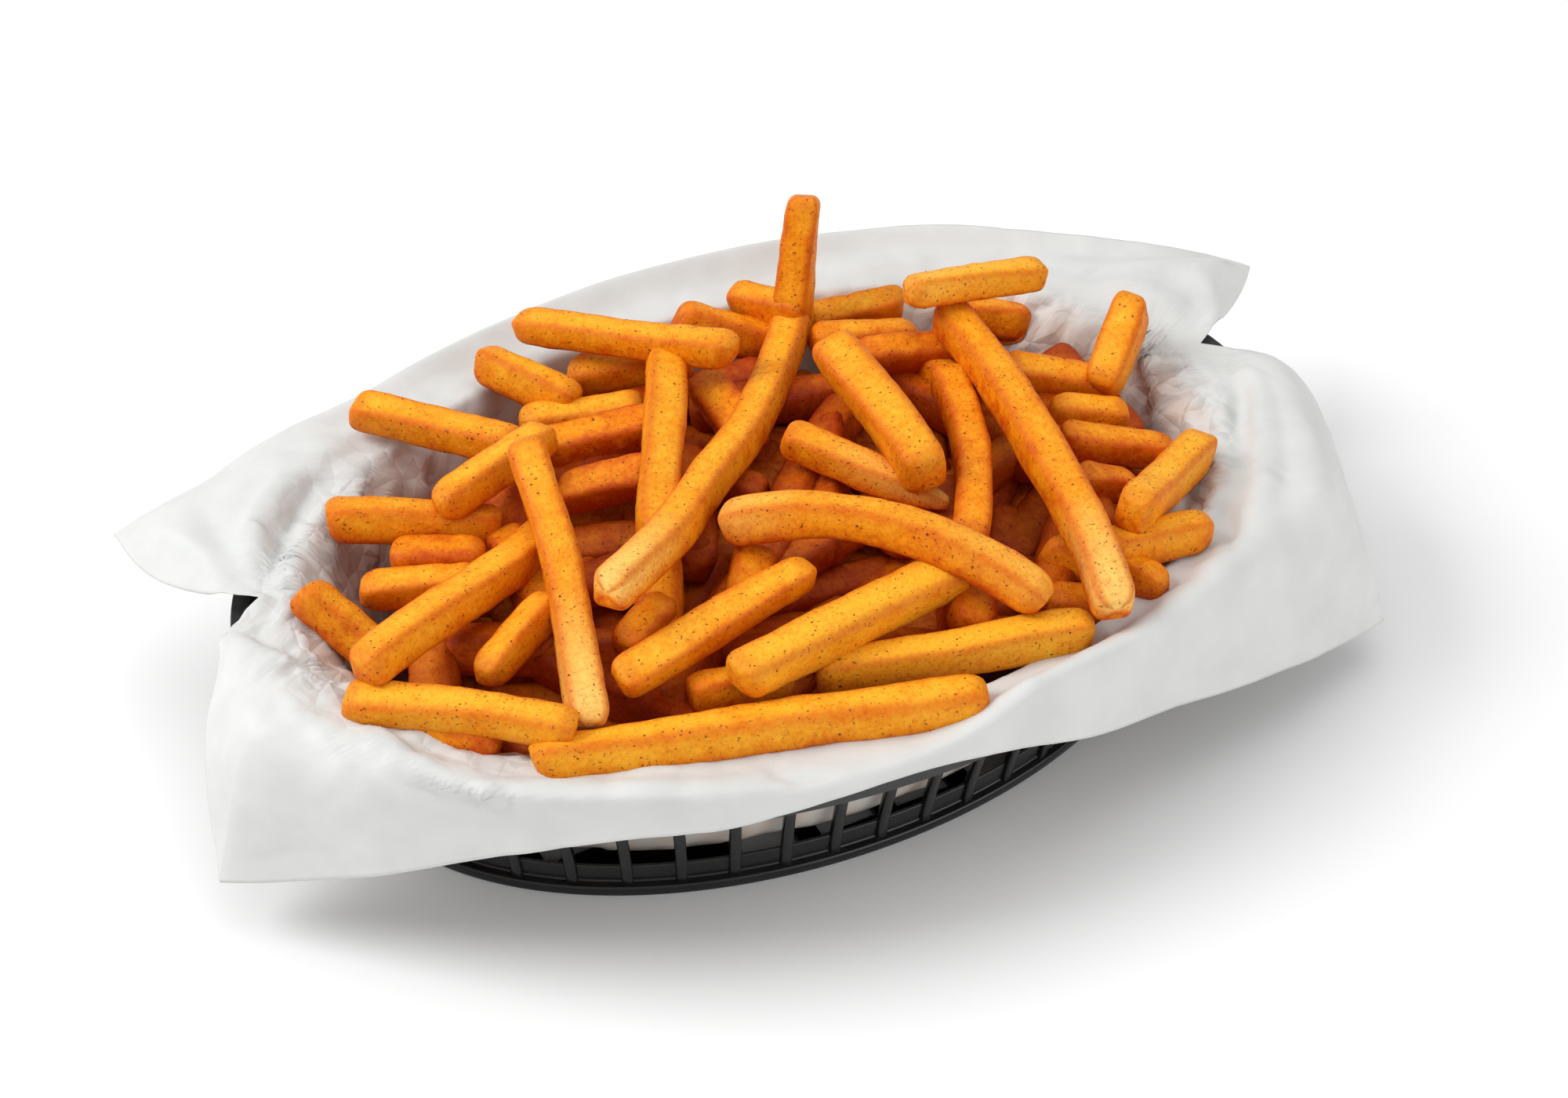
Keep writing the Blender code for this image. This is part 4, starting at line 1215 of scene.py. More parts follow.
        # The back hem rolls up a little, which shows as a double line
        left = run[:, -1:] - run
        back = np.clip(3.0 * np.sin(angles), 0.0, 1.0)[:, None]
        lift += back * self.roll * (np.exp(-(left / self.roll_width) ** 2)
                                    - 0.6 * np.exp(-((left - 2.0 * self.roll_width) / self.roll_width) ** 2))
        across = np.stack([np.cos(angles), np.sin(angles)], axis=1)
        spots = np.concatenate([sections[..., :1] * across[:, None, :], sections[..., 1:]], axis=-1)
        pixels = VIEW.seen_at(spots.reshape(-1, 3))
        for crease in CREASES:
            rise = crease.lift(pixels, self.pixel_size).reshape(run.shape)
            side = np.clip((2.0 * MM - beyond) / (4.0 * MM), 0.0, 1.0)
            lift += rise * (1.6 * side if crease.inside else 1.2 * (1.0 - side))
        lift = np.where(beyond < self.rim_reach, np.maximum(lift, -self.sink), lift)
        sections = sections + normals * lift[..., None]
        radii, heights = sections[..., 0], sections[..., 1]
        verts = np.stack([radii * np.cos(angles)[:, None], radii * np.sin(angles)[:, None], heights], axis=-1)
        verts = verts.transpose(1, 0, 2).reshape(-1, 3)
        around, rings = len(angles), sections.shape[1]
        faces = [face[::-1] for face in grid_faces(rings, around)]
        centre = len(verts)
        faces += [(centre, (i + 1) % around, i)[::-1] for i in range(around)]
        verts = np.vstack([verts, [(0.0, 0.0, float(heights[:, 0].mean()))]])
        sheet = new_piece("liner_sheet", verts, faces, self.finish.make())
        # Inside the rim the paper gets the warm tint of grease and painted shade
        oil = self.oil_and_shade_share * np.clip((self.oil_and_shade_reach[0] - beyond) / self.oil_and_shade_reach[1], 0.0, 1.0)
        looks = {"oil": (oil, self.oil_and_shade_share), "gathered": (gathered * ends, 0.0)}
        for label, (values, middle) in looks.items():
            spread = np.append(values.T.reshape(-1), middle).astype(np.float32)
            sheet.data.attributes.new(label, "FLOAT", "POINT").data.foreach_set("value", spread)
        wall = sheet.modifiers.new("thickness", "SOLIDIFY")
        wall.thickness = self.thick
        wall.offset = 0.0
        baked(sheet)
        settled(sheet)
        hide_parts("liner")
        return sheet


# The fries


@dataclass(frozen=True)
class Fry:
    """A fry that shows: its centre line's ends in the photograph, its size, where it lies and how it ends."""

    start: tuple[float, float]
    end: tuple[float, float]
    thick: float
    layers: tuple[float, float]
    bend: float = 0.0
    heights: tuple[float, float] | None = None
    tips: tuple[Tip, Tip] = (Tip.BLUNT, Tip.BLUNT)
    pale: tuple[float, float] = (0.0, 0.0)
    tone: float = 0.5
    sink: float = 0.0


# A fry's tone is its own browning with painted shade in it: fries lower in the heap get a lower tone
SHOWING = [
    Fry((712, 634), (850, 608), 9.5 * MM, (0.2, 0.2), tone=0.15),
    Fry((1090, 455), (1230, 450), 9.5 * MM, (0.3, 0.3), tone=0.2),
    Fry((492, 928), (635, 953), 8.5 * MM, (0.5, 0.3), tone=0.3, sink=8.0 * MM),
    Fry((500, 712), (620, 712), 9.0 * MM, (0.0, 0.0), tone=0.2),
    Fry((1225, 400), (1312, 412), 9.0 * MM, (0.5, 0.5), tone=0.3),
    Fry((1243, 720), (1243, 808), 9.0 * MM, (0.2, 0.0), tone=0.2),
    Fry((1355, 560), (1492, 578), 9.0 * MM, (0.5, 0.5), tone=0.3),
    Fry((1370, 610), (1450, 622), 8.5 * MM, (0.0, 0.0), tone=0.2),
    Fry((1425, 722), (1488, 752), 8.0 * MM, (0.5, 0.7), tone=0.4, tips=(Tip.BLUNT, Tip.ROUND), sink=4.0 * MM),
    Fry((850, 770), (800, 830), 9.0 * MM, (0.2, 0.2), tone=0.3),
    Fry((965, 700), (950, 785), 9.5 * MM, (0.5, 0.3), tone=0.3),
    Fry((690, 572), (850, 540), 10.0 * MM, (0.7, 0.5), tone=0.2),
    Fry((865, 405), (1000, 442), 9.5 * MM, (0.8, 0.5), tone=0.3),
    Fry((722, 480), (880, 458), 9.5 * MM, (1.2, 1.0), tone=0.6, tips=(Tip.ROUND, Tip.BLUNT)),
    Fry((612, 458), (735, 515), 9.0 * MM, (1.5, 0.8), tone=0.6),
    Fry((450, 521), (662, 570), 9.5 * MM, (2.2, 1.2), tone=0.6),
    Fry((416, 662), (640, 668), 9.8 * MM, (1.2, 0.8), tone=0.5),
    Fry((458, 752), (610, 742), 9.0 * MM, (0.8, 0.5), tone=0.5, tips=(Tip.ROUND, Tip.BLUNT)),
    Fry((385, 752), (500, 852), 9.3 * MM, (1.0, 0.8), tone=0.5),
    Fry((558, 648), (700, 552), 9.0 * MM, (1.8, 1.5), tone=0.7, tips=(Tip.ROUND, Tip.BLUNT)),
    Fry((676, 972), (1262, 892), 10.2 * MM, (1.1, 0.9), tone=0.75, tips=(Tip.ROUND, Tip.ROUND),
        sink=5.0 * MM),
    Fry((1040, 860), (1398, 804), 10.0 * MM, (1.0, 1.0), tone=1.0, tips=(Tip.BLUNT, Tip.ROUND),
        sink=4.0 * MM),
    Fry((438, 892), (735, 925), 9.0 * MM, (1.9, 1.7), tone=0.8, sink=1.0 * MM),
    Fry((850, 436), (842, 690), 8.8 * MM, (1.4, 1.4), tone=0.6),
    Fry((657, 410), (935, 446), 9.0 * MM, (2.2, 1.8), tone=0.6, tips=(Tip.ROUND, Tip.BLUNT), sink=4.0 * MM),
    Fry((1000, 556), (1212, 643), 8.6 * MM, (1.2, 1.2), tone=0.5, tips=(Tip.BLUNT, Tip.TAPERED),
        pale=(0.0, 0.8)),
    Fry((1065, 445), (1190, 605), 11.2 * MM, (1.8, 1.9), tone=0.6),
    Fry((1205, 475), (1236, 690), 8.0 * MM, (1.0, 0.8), bend=-3 * MM, tone=0.3),
    Fry((617, 868), (712, 768), 8.5 * MM, (1.8, 1.6), tone=0.6, tips=(Tip.ROUND, Tip.BLUNT)),
    Fry((462, 858), (700, 680), 10.0 * MM, (2.2, 1.8), tone=0.6),
    Fry((788, 868), (1032, 722), 8.8 * MM, (1.6, 1.4), tone=0.6, tips=(Tip.BLUNT, Tip.ROUND)),
    Fry((940, 866), (1232, 724), 11.0 * MM, (2.0, 1.6), tone=1.0),
    Fry((1278, 468), (1412, 492), 9.3 * MM, (1.2, 1.2), tone=0.5),
    Fry((1448, 380), (1404, 496), 10.0 * MM, (2.0, 1.0), heights=(59 * MM, 48 * MM), tone=0.6),
    Fry((1545, 672), (1405, 700), 9.5 * MM, (1.1, 1.2), tone=0.6, tips=(Tip.ROUND, Tip.BLUNT), sink=1.5 * MM),
    Fry((1530, 572), (1440, 655), 10.8 * MM, (1.6, 1.8), tone=0.7),
    Fry((922, 668), (1335, 768), 10.0 * MM, (2.3, 1.8), bend=-7.5 * MM, tone=0.5, tips=(Tip.BLUNT, Tip.ROUND),
        pale=(0.5, 0.3)),
    Fry((1030, 412), (1152, 386), 9.0 * MM, (1.8, 1.6), tone=0.6),
    Fry((1016, 392), (775, 757), 9.6 * MM, (2.6, 2.5), bend=-5 * MM, tone=0.6, pale=(0.2, 1.0)),
    Fry((672, 570), (750, 928), 9.4 * MM, (2.8, 2.8), bend=-1.5 * MM, tone=0.48, pale=(0.0, 1.0)),
    Fry((1205, 397), (1425, 780), 9.8 * MM, (2.4, 2.3), bend=-3 * MM, tone=0.42, pale=(0.0, 1.0)),
    Fry((1155, 375), (1330, 345), 8.6 * MM, (2.3, 2.2), tone=0.9, pale=(0.2, 0.0)),
    Fry((935, 378), (1030, 398), 9.5 * MM, (2.4, 2.4), tone=0.5, sink=8.0 * MM),
    Fry((1027, 250), (1010, 400), 8.4 * MM, (5.0, 1.5), heights=(76 * MM, 50 * MM), tone=0.7),
]


BEHIND = [
    Fry((1036, 436), (1170, 428), 9.0 * MM, (0.9, 0.7), tone=0.4),
    Fry((842, 700), (832, 842), 9.0 * MM, (0.5, 0.3), tone=0.35),
    Fry((896, 486), (962, 566), 9.5 * MM, (0.5, 0.4), tone=0.3),
    Fry((1340, 524), (1438, 532), 8.5 * MM, (0.5, 0.6), tone=0.5),
    Fry((664, 540), (820, 516), 8.5 * MM, (0.9, 0.7), tone=0.7, tips=(Tip.ROUND, Tip.BLUNT)),
    Fry((880, 890), (1010, 872), 9.0 * MM, (0.9, 0.7), tone=0.4),
    Fry((1330, 700), (1400, 730), 9.0 * MM, (0.5, 0.5), tone=0.3),
    Fry((1180, 465), (1265, 520), 8.5 * MM, (0.5, 0.5), tone=0.3),
    Fry((1335, 768), (1424, 776), 9.5 * MM, (0.5, 0.6), tone=0.2),
    Fry((640, 680), (700, 790), 9.0 * MM, (0.2, 0.2), tone=0.2),
]


def centre_line(start: np.ndarray, end: np.ndarray, bend: float, count: int) -> np.ndarray:
    """Draws a fry's centre line, bent sideways as the photograph sees it.

    Args:
        start: one end.
        end: the other end.
        bend: how far its middle stands off the straight line.
        count: how many points.

    Returns:
        The points.
    """
    side = np.cross(end - start, VIEW.axes()[0])
    side /= np.linalg.norm(side)
    t = np.linspace(0.0, 1.0, count)[:, None]
    return start + (end - start) * t + side * bend * 4.0 * t * (1.0 - t)


@dataclass(frozen=True)
class PlacedFry:
    """A fry in its place: its centre line, half its width and its looks."""

    line: np.ndarray
    half: float
    roll: float
    tips: tuple[Tip, Tip]
    pale: tuple[float, float]
    tone: float


@dataclass
class FryCutter:
    """Shapes one potato stick: a square bar with soft edges, shrunk unevenly in the fryer."""

    points_around: int = 28
    stations: int = 44
    squareness: tuple[float, float] = (3.6, 5.4)
    cap_rings: int = 6
    swell: float = 0.055
    swell_length: float = 17.0 * MM
    wander: float = 1.2 * MM
    wander_length: float = 34.0 * MM
    crust: float = 0.24 * MM
    crust_length: float = 3.4 * MM
    slant: float = 0.18
    edge_width: float = 2.4 * MM
    painted_face_highlight: float = 0.26
    painted_underside_shade: float = 0.42
    flatness: float = 0.10
    cone: float = 0.09
    slant_reach: float = 4.5 * MM
    pale_reach: tuple[float, float] = (17.0 * MM, 30.0 * MM)
    turn_reach: float = 2.0 * MM

    def profile(self, length: float, tips: tuple[Tip, Tip]) -> tuple[np.ndarray, np.ndarray]:
        """Lists the places of a stick's rings and their sizes.

        Args:
            length: the stick's length.
            tips: how its two ends are formed.

        Returns:
            Places along the stick and the share of the full section at each.
        """
        taper = [min(tip.value[0], 0.45 * length) for tip in tips]
        turn = np.linspace(0.0, 0.5 * math.pi, self.cap_rings + 1)[1:]
        caps = []
        for tip, reach in zip(tips, taper):
            _, small, full = tip.value
            along = 1.0 - np.cos(turn)
            size = small + (1.0 - small) * (1.0 - (1.0 - along) ** full) ** (1.0 / full)
            caps.append((np.concatenate([[0.0, 0.03], along]) * reach,
                         np.concatenate([[0.55 * small, small], size])))
        middle = np.linspace(taper[0], length - taper[1], self.stations - 2 * self.cap_rings)[1:-1]
        places = np.concatenate([caps[0][0], middle, length - caps[1][0][::-1]])
        sizes = np.concatenate([caps[0][1], np.ones(len(middle)), caps[1][1][::-1]])
        return places, sizes

    def frames(self, fry: PlacedFry, places: np.ndarray, length: float,
               offset: float) -> tuple[np.ndarray, np.ndarray, np.ndarray, np.ndarray]:
        """Works out the middle and the directions of each ring.

        Args:
            fry: the placed fry.
            places: the rings' places along it.
            length: its length.
            offset: where in the noise its wandering starts.

        Returns:
            Middles, directions along the stick and the two directions across it.
        """
        steps = np.linalg.norm(np.diff(fry.line, axis=0), axis=1)
        runs = np.concatenate([[0.0], np.cumsum(steps)])

        def along(reach: np.ndarray) -> np.ndarray:
            """The centre line's points at some lengths."""
            return np.stack([np.interp(np.clip(reach, 0.0, length), runs, fry.line[:, axis])
                             for axis in range(3)], axis=1)

        tangents = along(places + self.turn_reach) - along(places - self.turn_reach)
        tangents /= np.linalg.norm(tangents, axis=1, keepdims=True)
        side = np.cross(tangents, (0.0, 0.0, 1.0))
        side /= np.maximum(np.linalg.norm(side, axis=1, keepdims=True), 1e-6)
        up = np.cross(side, tangents)
        drift = np.array([[noise.noise(Vector((place, offset, lane))) for lane in (2.0, 9.0)]
                          for place in places / self.wander_length]) * self.wander
        middles = along(places) + side * drift[:, :1] + up * drift[:, 1:]
        twist = (fry.roll + 0.3 * math.sin(offset) * (places / length - 0.5))[:, None]
        return (middles, tangents, np.cos(twist) * side + np.sin(twist) * up,
                np.cos(twist) * up - np.sin(twist) * side)

    def shape(self, fry: PlacedFry,
              rng: random.Random) -> tuple[np.ndarray, list[tuple[int, ...]], np.ndarray]:
        """Builds one stick.

        Args:
            fry: where it lies and how it looks.
            rng: the random source for its unevenness.

        Returns:
            Its points, its faces, and the tone with its painted shade and highlight, paleness and edge of each
            point.
        """
        length = float(np.linalg.norm(np.diff(fry.line, axis=0), axis=1).sum())
        places, sizes = self.profile(length, fry.tips)
        offset = rng.uniform(0.0, 100.0)
        middles, tangents, one, two = self.frames(fry, places, length, offset)
        # The section's size is set so that the stick is as wide in the picture as the fry is
        across = np.cross(tangents[len(tangents) // 2], VIEW.axes()[0])
        across /= np.linalg.norm(across)
        square = rng.uniform(*self.squareness)
        dual = square / (square - 1.0)
        seen = [abs(float(np.dot(across, axis[len(axis) // 2]))) ** dual for axis in (one, two)]
        half = fry.half / sum(seen) ** (1.0 / dual)
        flat = rng.uniform(1.0 - self.flatness, 1.0 + self.flatness)
        cone = rng.uniform(-self.cone, self.cone)
        theta = np.linspace(0.0, TAU, self.points_around, endpoint=False)
        power = 2.0 / square
        a = np.sign(np.cos(theta)) * np.abs(np.cos(theta)) ** power
        b = np.sign(np.sin(theta)) * np.abs(np.sin(theta)) ** power
        slants = [rng.uniform(-1, 1) * self.slant for _ in range(2)]
        tilts = [rng.uniform(-1, 1) * self.slant for _ in range(2)]
        near = [np.clip(1.0 - gap / self.slant_reach, 0.0, 1.0) for gap in (places, length - places)]
        rings = []
        for i, (middle, size) in enumerate(zip(middles, sizes)):
            far = places[i] / self.swell_length
            swell = [1.0 + self.swell * 2.0 * noise.noise(Vector((far, offset, lane)))
                     + cone * (places[i] / length - 0.5) for lane in (0.0, 5.0)]
            lean = half * size * ((slants[0] * near[0][i] - slants[1] * near[1][i]) * a
                                  + (tilts[0] * near[0][i] - tilts[1] * near[1][i]) * b)
            rings.append(middle + one[i] * (a * half * size * swell[0] * flat)[:, None]
                         + two[i] * (b * half * size * swell[1] / flat)[:, None]
                         + tangents[i] * lean[:, None])
        verts = np.concatenate(rings)
        outward = verts - np.repeat(middles, self.points_around, axis=0)
        outward /= np.maximum(np.linalg.norm(outward, axis=1, keepdims=True), 1e-9)
        apart = Vector((offset, 0.0, 0.0))
        lumps = np.array([noise.noise(Vector(v / self.crust_length) + apart) for v in verts])
        verts = verts + outward * (lumps * self.crust)[:, None]
        faces = grid_faces(len(places), self.points_around)
        last = (len(places) - 1) * self.points_around
        faces.append(tuple(reversed(range(self.points_around))))
        faces.append(tuple(last + i for i in range(self.points_around)))
        corner = np.abs(np.sin(2.0 * theta)) ** 1.6
        end_gap = np.minimum(places, length - places)
        tip_edge = np.exp(-((end_gap - 1.4 * MM) / self.edge_width) ** 2)
        pale = np.maximum(*(share * np.clip(1.0 - gap / reach, 0, 1) for share, gap, reach
                            in zip(fry.pale, (places, length - places), self.pale_reach)))
        edge = np.maximum(corner[None, :] * 0.8, (tip_edge * (0.65 - 0.5 * pale))[:, None]).reshape(-1)
        # Painted shade: the sides and undersides get a lower tone than the tops
        tone = fry.tone - self.painted_underside_shade * (1.0 - np.clip(1.3 * outward[:, 2], 0.0, 1.0))
        # and a painted highlight makes the middle of each face lighter than its edges
        tone += self.painted_face_highlight * (1.0 - np.tile(corner, len(places))) - 0.4 * self.painted_face_highlight
        # Painted light: the pale ends show most on their upper faces
        pale = np.repeat(pale, self.points_around) * np.clip(outward[:, 2] + 0.4, 0, 1)
        return verts, faces, np.stack([tone, pale, edge], axis=1)


@dataclass
class FryHeap:
    """The heap: showing fries laid over a fill, deeper fries under them and a dark core."""

    basket: Basket
    sheet: bpy.types.Object
    core_edge: float = 36.0 * MM
    core_crown: float = 9.0 * MM
    layer: float = 6.5 * MM
    fill_count: int = 22
    fill_seed: int = 7
    touch: float = 0.78
    joined: float = 0.82
    join_rounds: int = 60
    join_step: float = 0.4 * MM
    lay_rounds: int = 50
    lay_step: float = 0.3
    lay_pull: float = 0.04
    lay_reach: float = 14.0 * MM
    line_points: int = 15
    paper_thick: float = 0.6 * MM
    rim_clear: float = 0.8 * MM
    deep_count: int = 70
    deep_drop: float = 9.0 * MM
    fill_inset: float = 22.0 * MM
    deep_inset: float = 26.0 * MM
    fill_lengths: tuple[float, float] = (40.0 * MM, 64.0 * MM)
    fill_widths: tuple[float, float] = (9.5 * MM, 11.0 * MM)
    fill_rise: float = 2.5 * MM
    core_drop: float = 15.0 * MM
    core_inset: float = 12.0 * MM
    core_level: float = 24.0 * MM
    core_foot: tuple[float, float] = (0.85, 9.0 * MM)
    core_lump: float = 1.5 * MM
    core_lumps_per_metre: float = 90.0
    cutter: FryCutter = field(default_factory=FryCutter)
    rough_cutter: FryCutter = field(default_factory=lambda: FryCutter(points_around=20, stations=34))
    finish: FriedPotato = field(default_factory=FriedPotato)
    # Painted shade: the fries deep in the heap get a redder, darker copy of the crust, for the dim gaps between
    # the fries above
    soaked_and_shaded: FriedPotato = FriedPotato(name="shaded_fried_potato", deep="#A63402", golden="#CC6006",
                                      light="#E48812", brown="#962E02", spice="#862802")
    depths: PotatoDepths = field(default_factory=PotatoDepths)

    def __post_init__(self) -> None:
        """Sets up the sight lines of the showing fries' ends."""
        self.rays = []
        for fry in SHOWING:
            feet = np.array([VIEW.sight_point(pixel, 0.0) for pixel in (fry.start, fry.end)])
            tops = np.array([VIEW.sight_point(pixel, 1.0) for pixel in (fry.start, fry.end)])
            self.rays.append((feet, tops - feet))
        self.heights = []
        self.fill = []

    def core_height(self, x: object, y: object) -> object:
        """The height of the low dome that carries the fries."""
        limit = grown(self.basket.wall_half(self.basket.height), -self.basket.wall - 4.0 * MM)
        share = (x / limit[0]) ** 2 + (y / limit[1]) ** 2
        return self.core_edge + self.core_crown * (1.0 - np.minimum(share, 1.0))

    def layer_height(self, pixel: tuple[float, float], layer: float) -> float:
        """Finds where the sight line through a pixel meets a layer of the heap.

        Args:
            pixel: the pixel.
            layer: the layer, counted from the dome.

        Returns:
            The height.
        """
        height = self.core_edge + self.core_crown
        for _ in range(12):
            x, y, _ = VIEW.sight_point(pixel, height)
            height = 0.5 * height + 0.5 * (float(self.core_height(x, y)) + 2.5 * MM + layer * self.layer)
        return height

    def layer_heights(self, fry: Fry) -> list[float]:
        """The heights of a fry's two ends in their layers."""
        return [self.layer_height(pixel, layer) for pixel, layer in zip((fry.start, fry.end), fry.layers)]

    def fill_fries(self, rng: random.Random, count: int, drop: float, reach_in: float) -> list[tuple]:
        """Lays fries on the dome at random, spread evenly round the centre.

        Args:
            rng: the random source.
            count: how many.
            drop: how far below the dome they lie.
            reach_in: how far inside the wall their middles stay.

        Returns:
            A centre line and half a width for each.
        """
        fill = []
        golden = math.pi * (3.0 - math.sqrt(5.0))
        reach = grown(self.basket.wall_half(self.basket.height), -reach_in)
        for index in range(count):
            share = math.sqrt((index + 0.5) / count)
            angle = index * golden
            centre = np.array([reach[0] * share * math.cos(angle), reach[1] * share * math.sin(angle)])
            # Near the wall they lie along it, further in they lie any way
            turn = angle + 0.5 * math.pi + rng.uniform(-0.7, 0.7) if share > 0.6 else rng.uniform(0, math.pi)
            half_length = 0.5 * rng.uniform(*self.fill_lengths)
            step = half_length * np.array([math.cos(turn), math.sin(turn)])
            ends = []
            for place in (centre - step, centre + step):
                limit = polar_oval(reach, math.atan2(place[1], place[0])) + 8.0 * MM
                place = place * min(1.0, limit / np.linalg.norm(place))
                height = float(self.core_height(*place)) + rng.uniform(0.0, self.fill_rise) - drop
                ends.append(np.array([*place, height]))
            fill.append((centre_line(*ends, 0.0, self.line_points), 0.5 * rng.uniform(*self.fill_widths)))
        return fill

    def line(self, index: int) -> np.ndarray:
        """The centre line of one showing fry at its present heights."""
        feet, slope = self.rays[index]
        start, end = feet + slope * self.heights[index][:, None]
        return centre_line(start, end, SHOWING[index].bend, self.line_points)

    def shift(self, index: int, share: float, amount: float) -> None:
        """Raises a fry at a place along it, so that the nearer end moves more."""
        if SHOWING[index].heights is None:
            self.heights[index] += amount * 2.0 * np.array([1.0 - share, share])

    def lines(self) -> np.ndarray:
        """The centre lines of all showing fries at their present heights."""
        return np.array([self.line(index) for index in range(len(SHOWING))])

    def part_pairs(self, lines: np.ndarray, upper: np.ndarray, lower_lines: np.ndarray, need: np.ndarray,
                   lower: np.ndarray | None = None) -> None:
        """Moves pairs of fries apart where they cut into each other, the one in front upwards.

        Args:
            lines: the centre lines of the showing fries.
            upper: indices of the fries in front.
            lower_lines: the others' centre lines.
            need: how far apart each pair should be.
            lower: the others' indices, where they are showing fries.
        """
        gaps = np.linalg.norm(lines[upper][:, :, None, :] - lower_lines[:, None, :, :], axis=3)
        gaps = gaps.reshape(len(upper), -1)
        nearest, missing = gaps.argmin(axis=1), need - gaps.min(axis=1)
        for pair in np.flatnonzero(missing > 0.0):
            at, below = divmod(int(nearest[pair]), self.line_points)
            amount = self.lay_step * missing[pair]
            self.shift(int(upper[pair]), at / (self.line_points - 1), amount)
            if lower is not None:
                self.shift(int(lower[pair]), below / (self.line_points - 1), -amount)

    def lowest_centre(self, points: np.ndarray, half: float) -> np.ndarray:
        """Finds how low a fry's centre may lie over the dome, the paper and the rim.

        Args:
            points: places along its centre line.
            half: half its width.

        Returns:
            The lowest height at each place.
        """
        basket = self.basket
        inside = grown(basket.wall_half(basket.height), -basket.wall - 1.0 * MM - self.paper_thick)
        radius = np.hypot(points[:, 0], points[:, 1])
        limit = radius / np.hypot(points[:, 0] / inside[0], points[:, 1] / inside[1])
        on_core = self.core_height(points[:, 0], points[:, 1]) + 0.4 * half
        on_rim = basket.height + self.rim_clear + 1.5 * self.paper_thick + half
        return np.where(radius + half > limit, on_rim, on_core)

    def spare(self, line: np.ndarray, half: float, others: np.ndarray, halves: np.ndarray) -> np.ndarray:
        """The gaps left before a fry is joined to each of some others."""
        gaps = np.linalg.norm(line[None, 1:-1, None, :] - others[:, None, 1:-1, :], axis=3)
        return gaps.min(axis=(1, 2)) - self.joined * (half + halves)

    def base_gap(self, line: np.ndarray, half: float) -> float:
        """How far a fry is from being joined to the dome or to the fill."""
        inner = line[1:-1]
        over_core = float(np.min(inner[:, 2] - self.core_height(inner[:, 0], inner[:, 1]))) - 0.5 * half
        return min(over_core, float(self.spare(line, half, self.fill_lines, self.fill_halves).min()))

    def held(self, lines: np.ndarray) -> set[int]:
        """Finds the showing fries that are joined to the dome, straight or through others.

        Args:
            lines: their centre lines.

        Returns:
            Their indices.
        """
        joins = [self.spare(line, half, lines, self.halves) <= 0.0 for line, half in zip(lines, self.halves)]
        held = {index for index, line in enumerate(lines) if self.base_gap(line, self.halves[index]) <= 0.0}
        reached = set(held)
        while reached:
            reached = {index for index in set(range(len(lines))) - held
                       if any(joins[index][other] for other in reached)}
            held |= reached
        return held

    def join_loose(self) -> None:
        """Moves each loose fry's ends in small steps until it is joined to the heap."""
        steps = [np.array([a, b]) * self.join_step for a in (-1, 0, 1) for b in (-1, 0, 1)]
        for _ in range(self.join_rounds):
            lines = self.lines()
            held = sorted(self.held(lines))
            loose = sorted(set(range(len(SHOWING))) - set(held))
            if not loose:
                return
            for index in loose:
                half = self.halves[index]
                kept, best = self.heights[index], None
                for step in steps:
                    self.heights[index] = kept + step
                    line = self.line(index)
                    sunk = max(0.0, float(np.max(self.lowest_centre(line, half) - line[:, 2])))
                    gap = min(self.base_gap(line, half),
                              float(self.spare(line, half, lines[held], self.halves[held]).min()))
                    if best is None or gap + 4.0 * sunk < best[0]:
                        best = (gap + 4.0 * sunk, self.heights[index])
                self.heights[index] = best[1]

    def lay(self) -> list[tuple]:
        """Lays the showing fries on each other, each along the sight lines of its ends.

        Returns:
            A centre line and half a width for each.
        """
        self.fill_lines = np.array([line for line, _ in self.fill])
        self.fill_halves = np.array([half for _, half in self.fill])
        self.halves = np.array([0.5 * fry.thick for fry in SHOWING])
        for fry in SHOWING:
            self.heights.append(np.array(fry.heights or self.layer_heights(fry)))
        wanted = [pair.copy() for pair in self.heights]
        lines = self.lines()

        def near(one: np.ndarray, two: np.ndarray) -> bool:
            """True for two centre lines close enough to meet while the fries are laid."""
            return np.linalg.norm(one[:, None, :] - two[None, :, :], axis=2).min() < 1.5 * self.lay_reach

        count = len(SHOWING)
        over, fills = np.array([(one, two) for one in range(count) for two in range(len(self.fill))
                                if near(lines[one], self.fill_lines[two])]).T
        upper, lower = np.array([(one, two) for one in range(count) for two in range(one)
                                 if near(lines[one], lines[two])]).T
        for _ in range(self.lay_rounds):
            for index in range(count):
                if SHOWING[index].heights is None:
                    self.heights[index] += self.lay_pull * (wanted[index] - self.heights[index])
            lines = self.lines()
            self.part_pairs(lines, over, self.fill_lines[fills],
                            self.touch * (self.halves[over] + self.fill_halves[fills]))
            self.part_pairs(lines, upper, lines[lower],
                            self.touch * (self.halves[upper] + self.halves[lower]), lower)
            for index in range(count):
                missing = self.lowest_centre(lines[index], self.halves[index]) - lines[index][:, 2]
                worst = int(missing.argmax())
                if missing[worst] > 0.0:
                    self.shift(index, worst / (self.line_points - 1), 0.7 * missing[worst])
        self.join_loose()
        return list(zip(self.lines(), self.halves))

    def pressed(self, points: np.ndarray) -> np.ndarray:
        """Presses what would stand through the paper's wall back inside it.

        Args:
            points: the fries' points.

        Returns:
            The points, those outside the paper moved straight inwards.
        """
        sheet = BVHTree.FromObject(self.sheet, bpy.context.evaluated_depsgraph_get())
        moved = points.copy()
        for index in np.flatnonzero(points[:, 2] < self.basket.height - self.rim_clear):
            x, y, z = points[index]
            radius = math.hypot(x, y)
            reach = sheet.ray_cast(Vector((0.0, 0.0, z)), Vector((x, y, 0.0)).normalized(),
                                   radius + self.paper_thick)[3]
            if reach is not None:
                moved[index, :2] *= max(reach - self.paper_thick, 0.0) / radius
        return moved

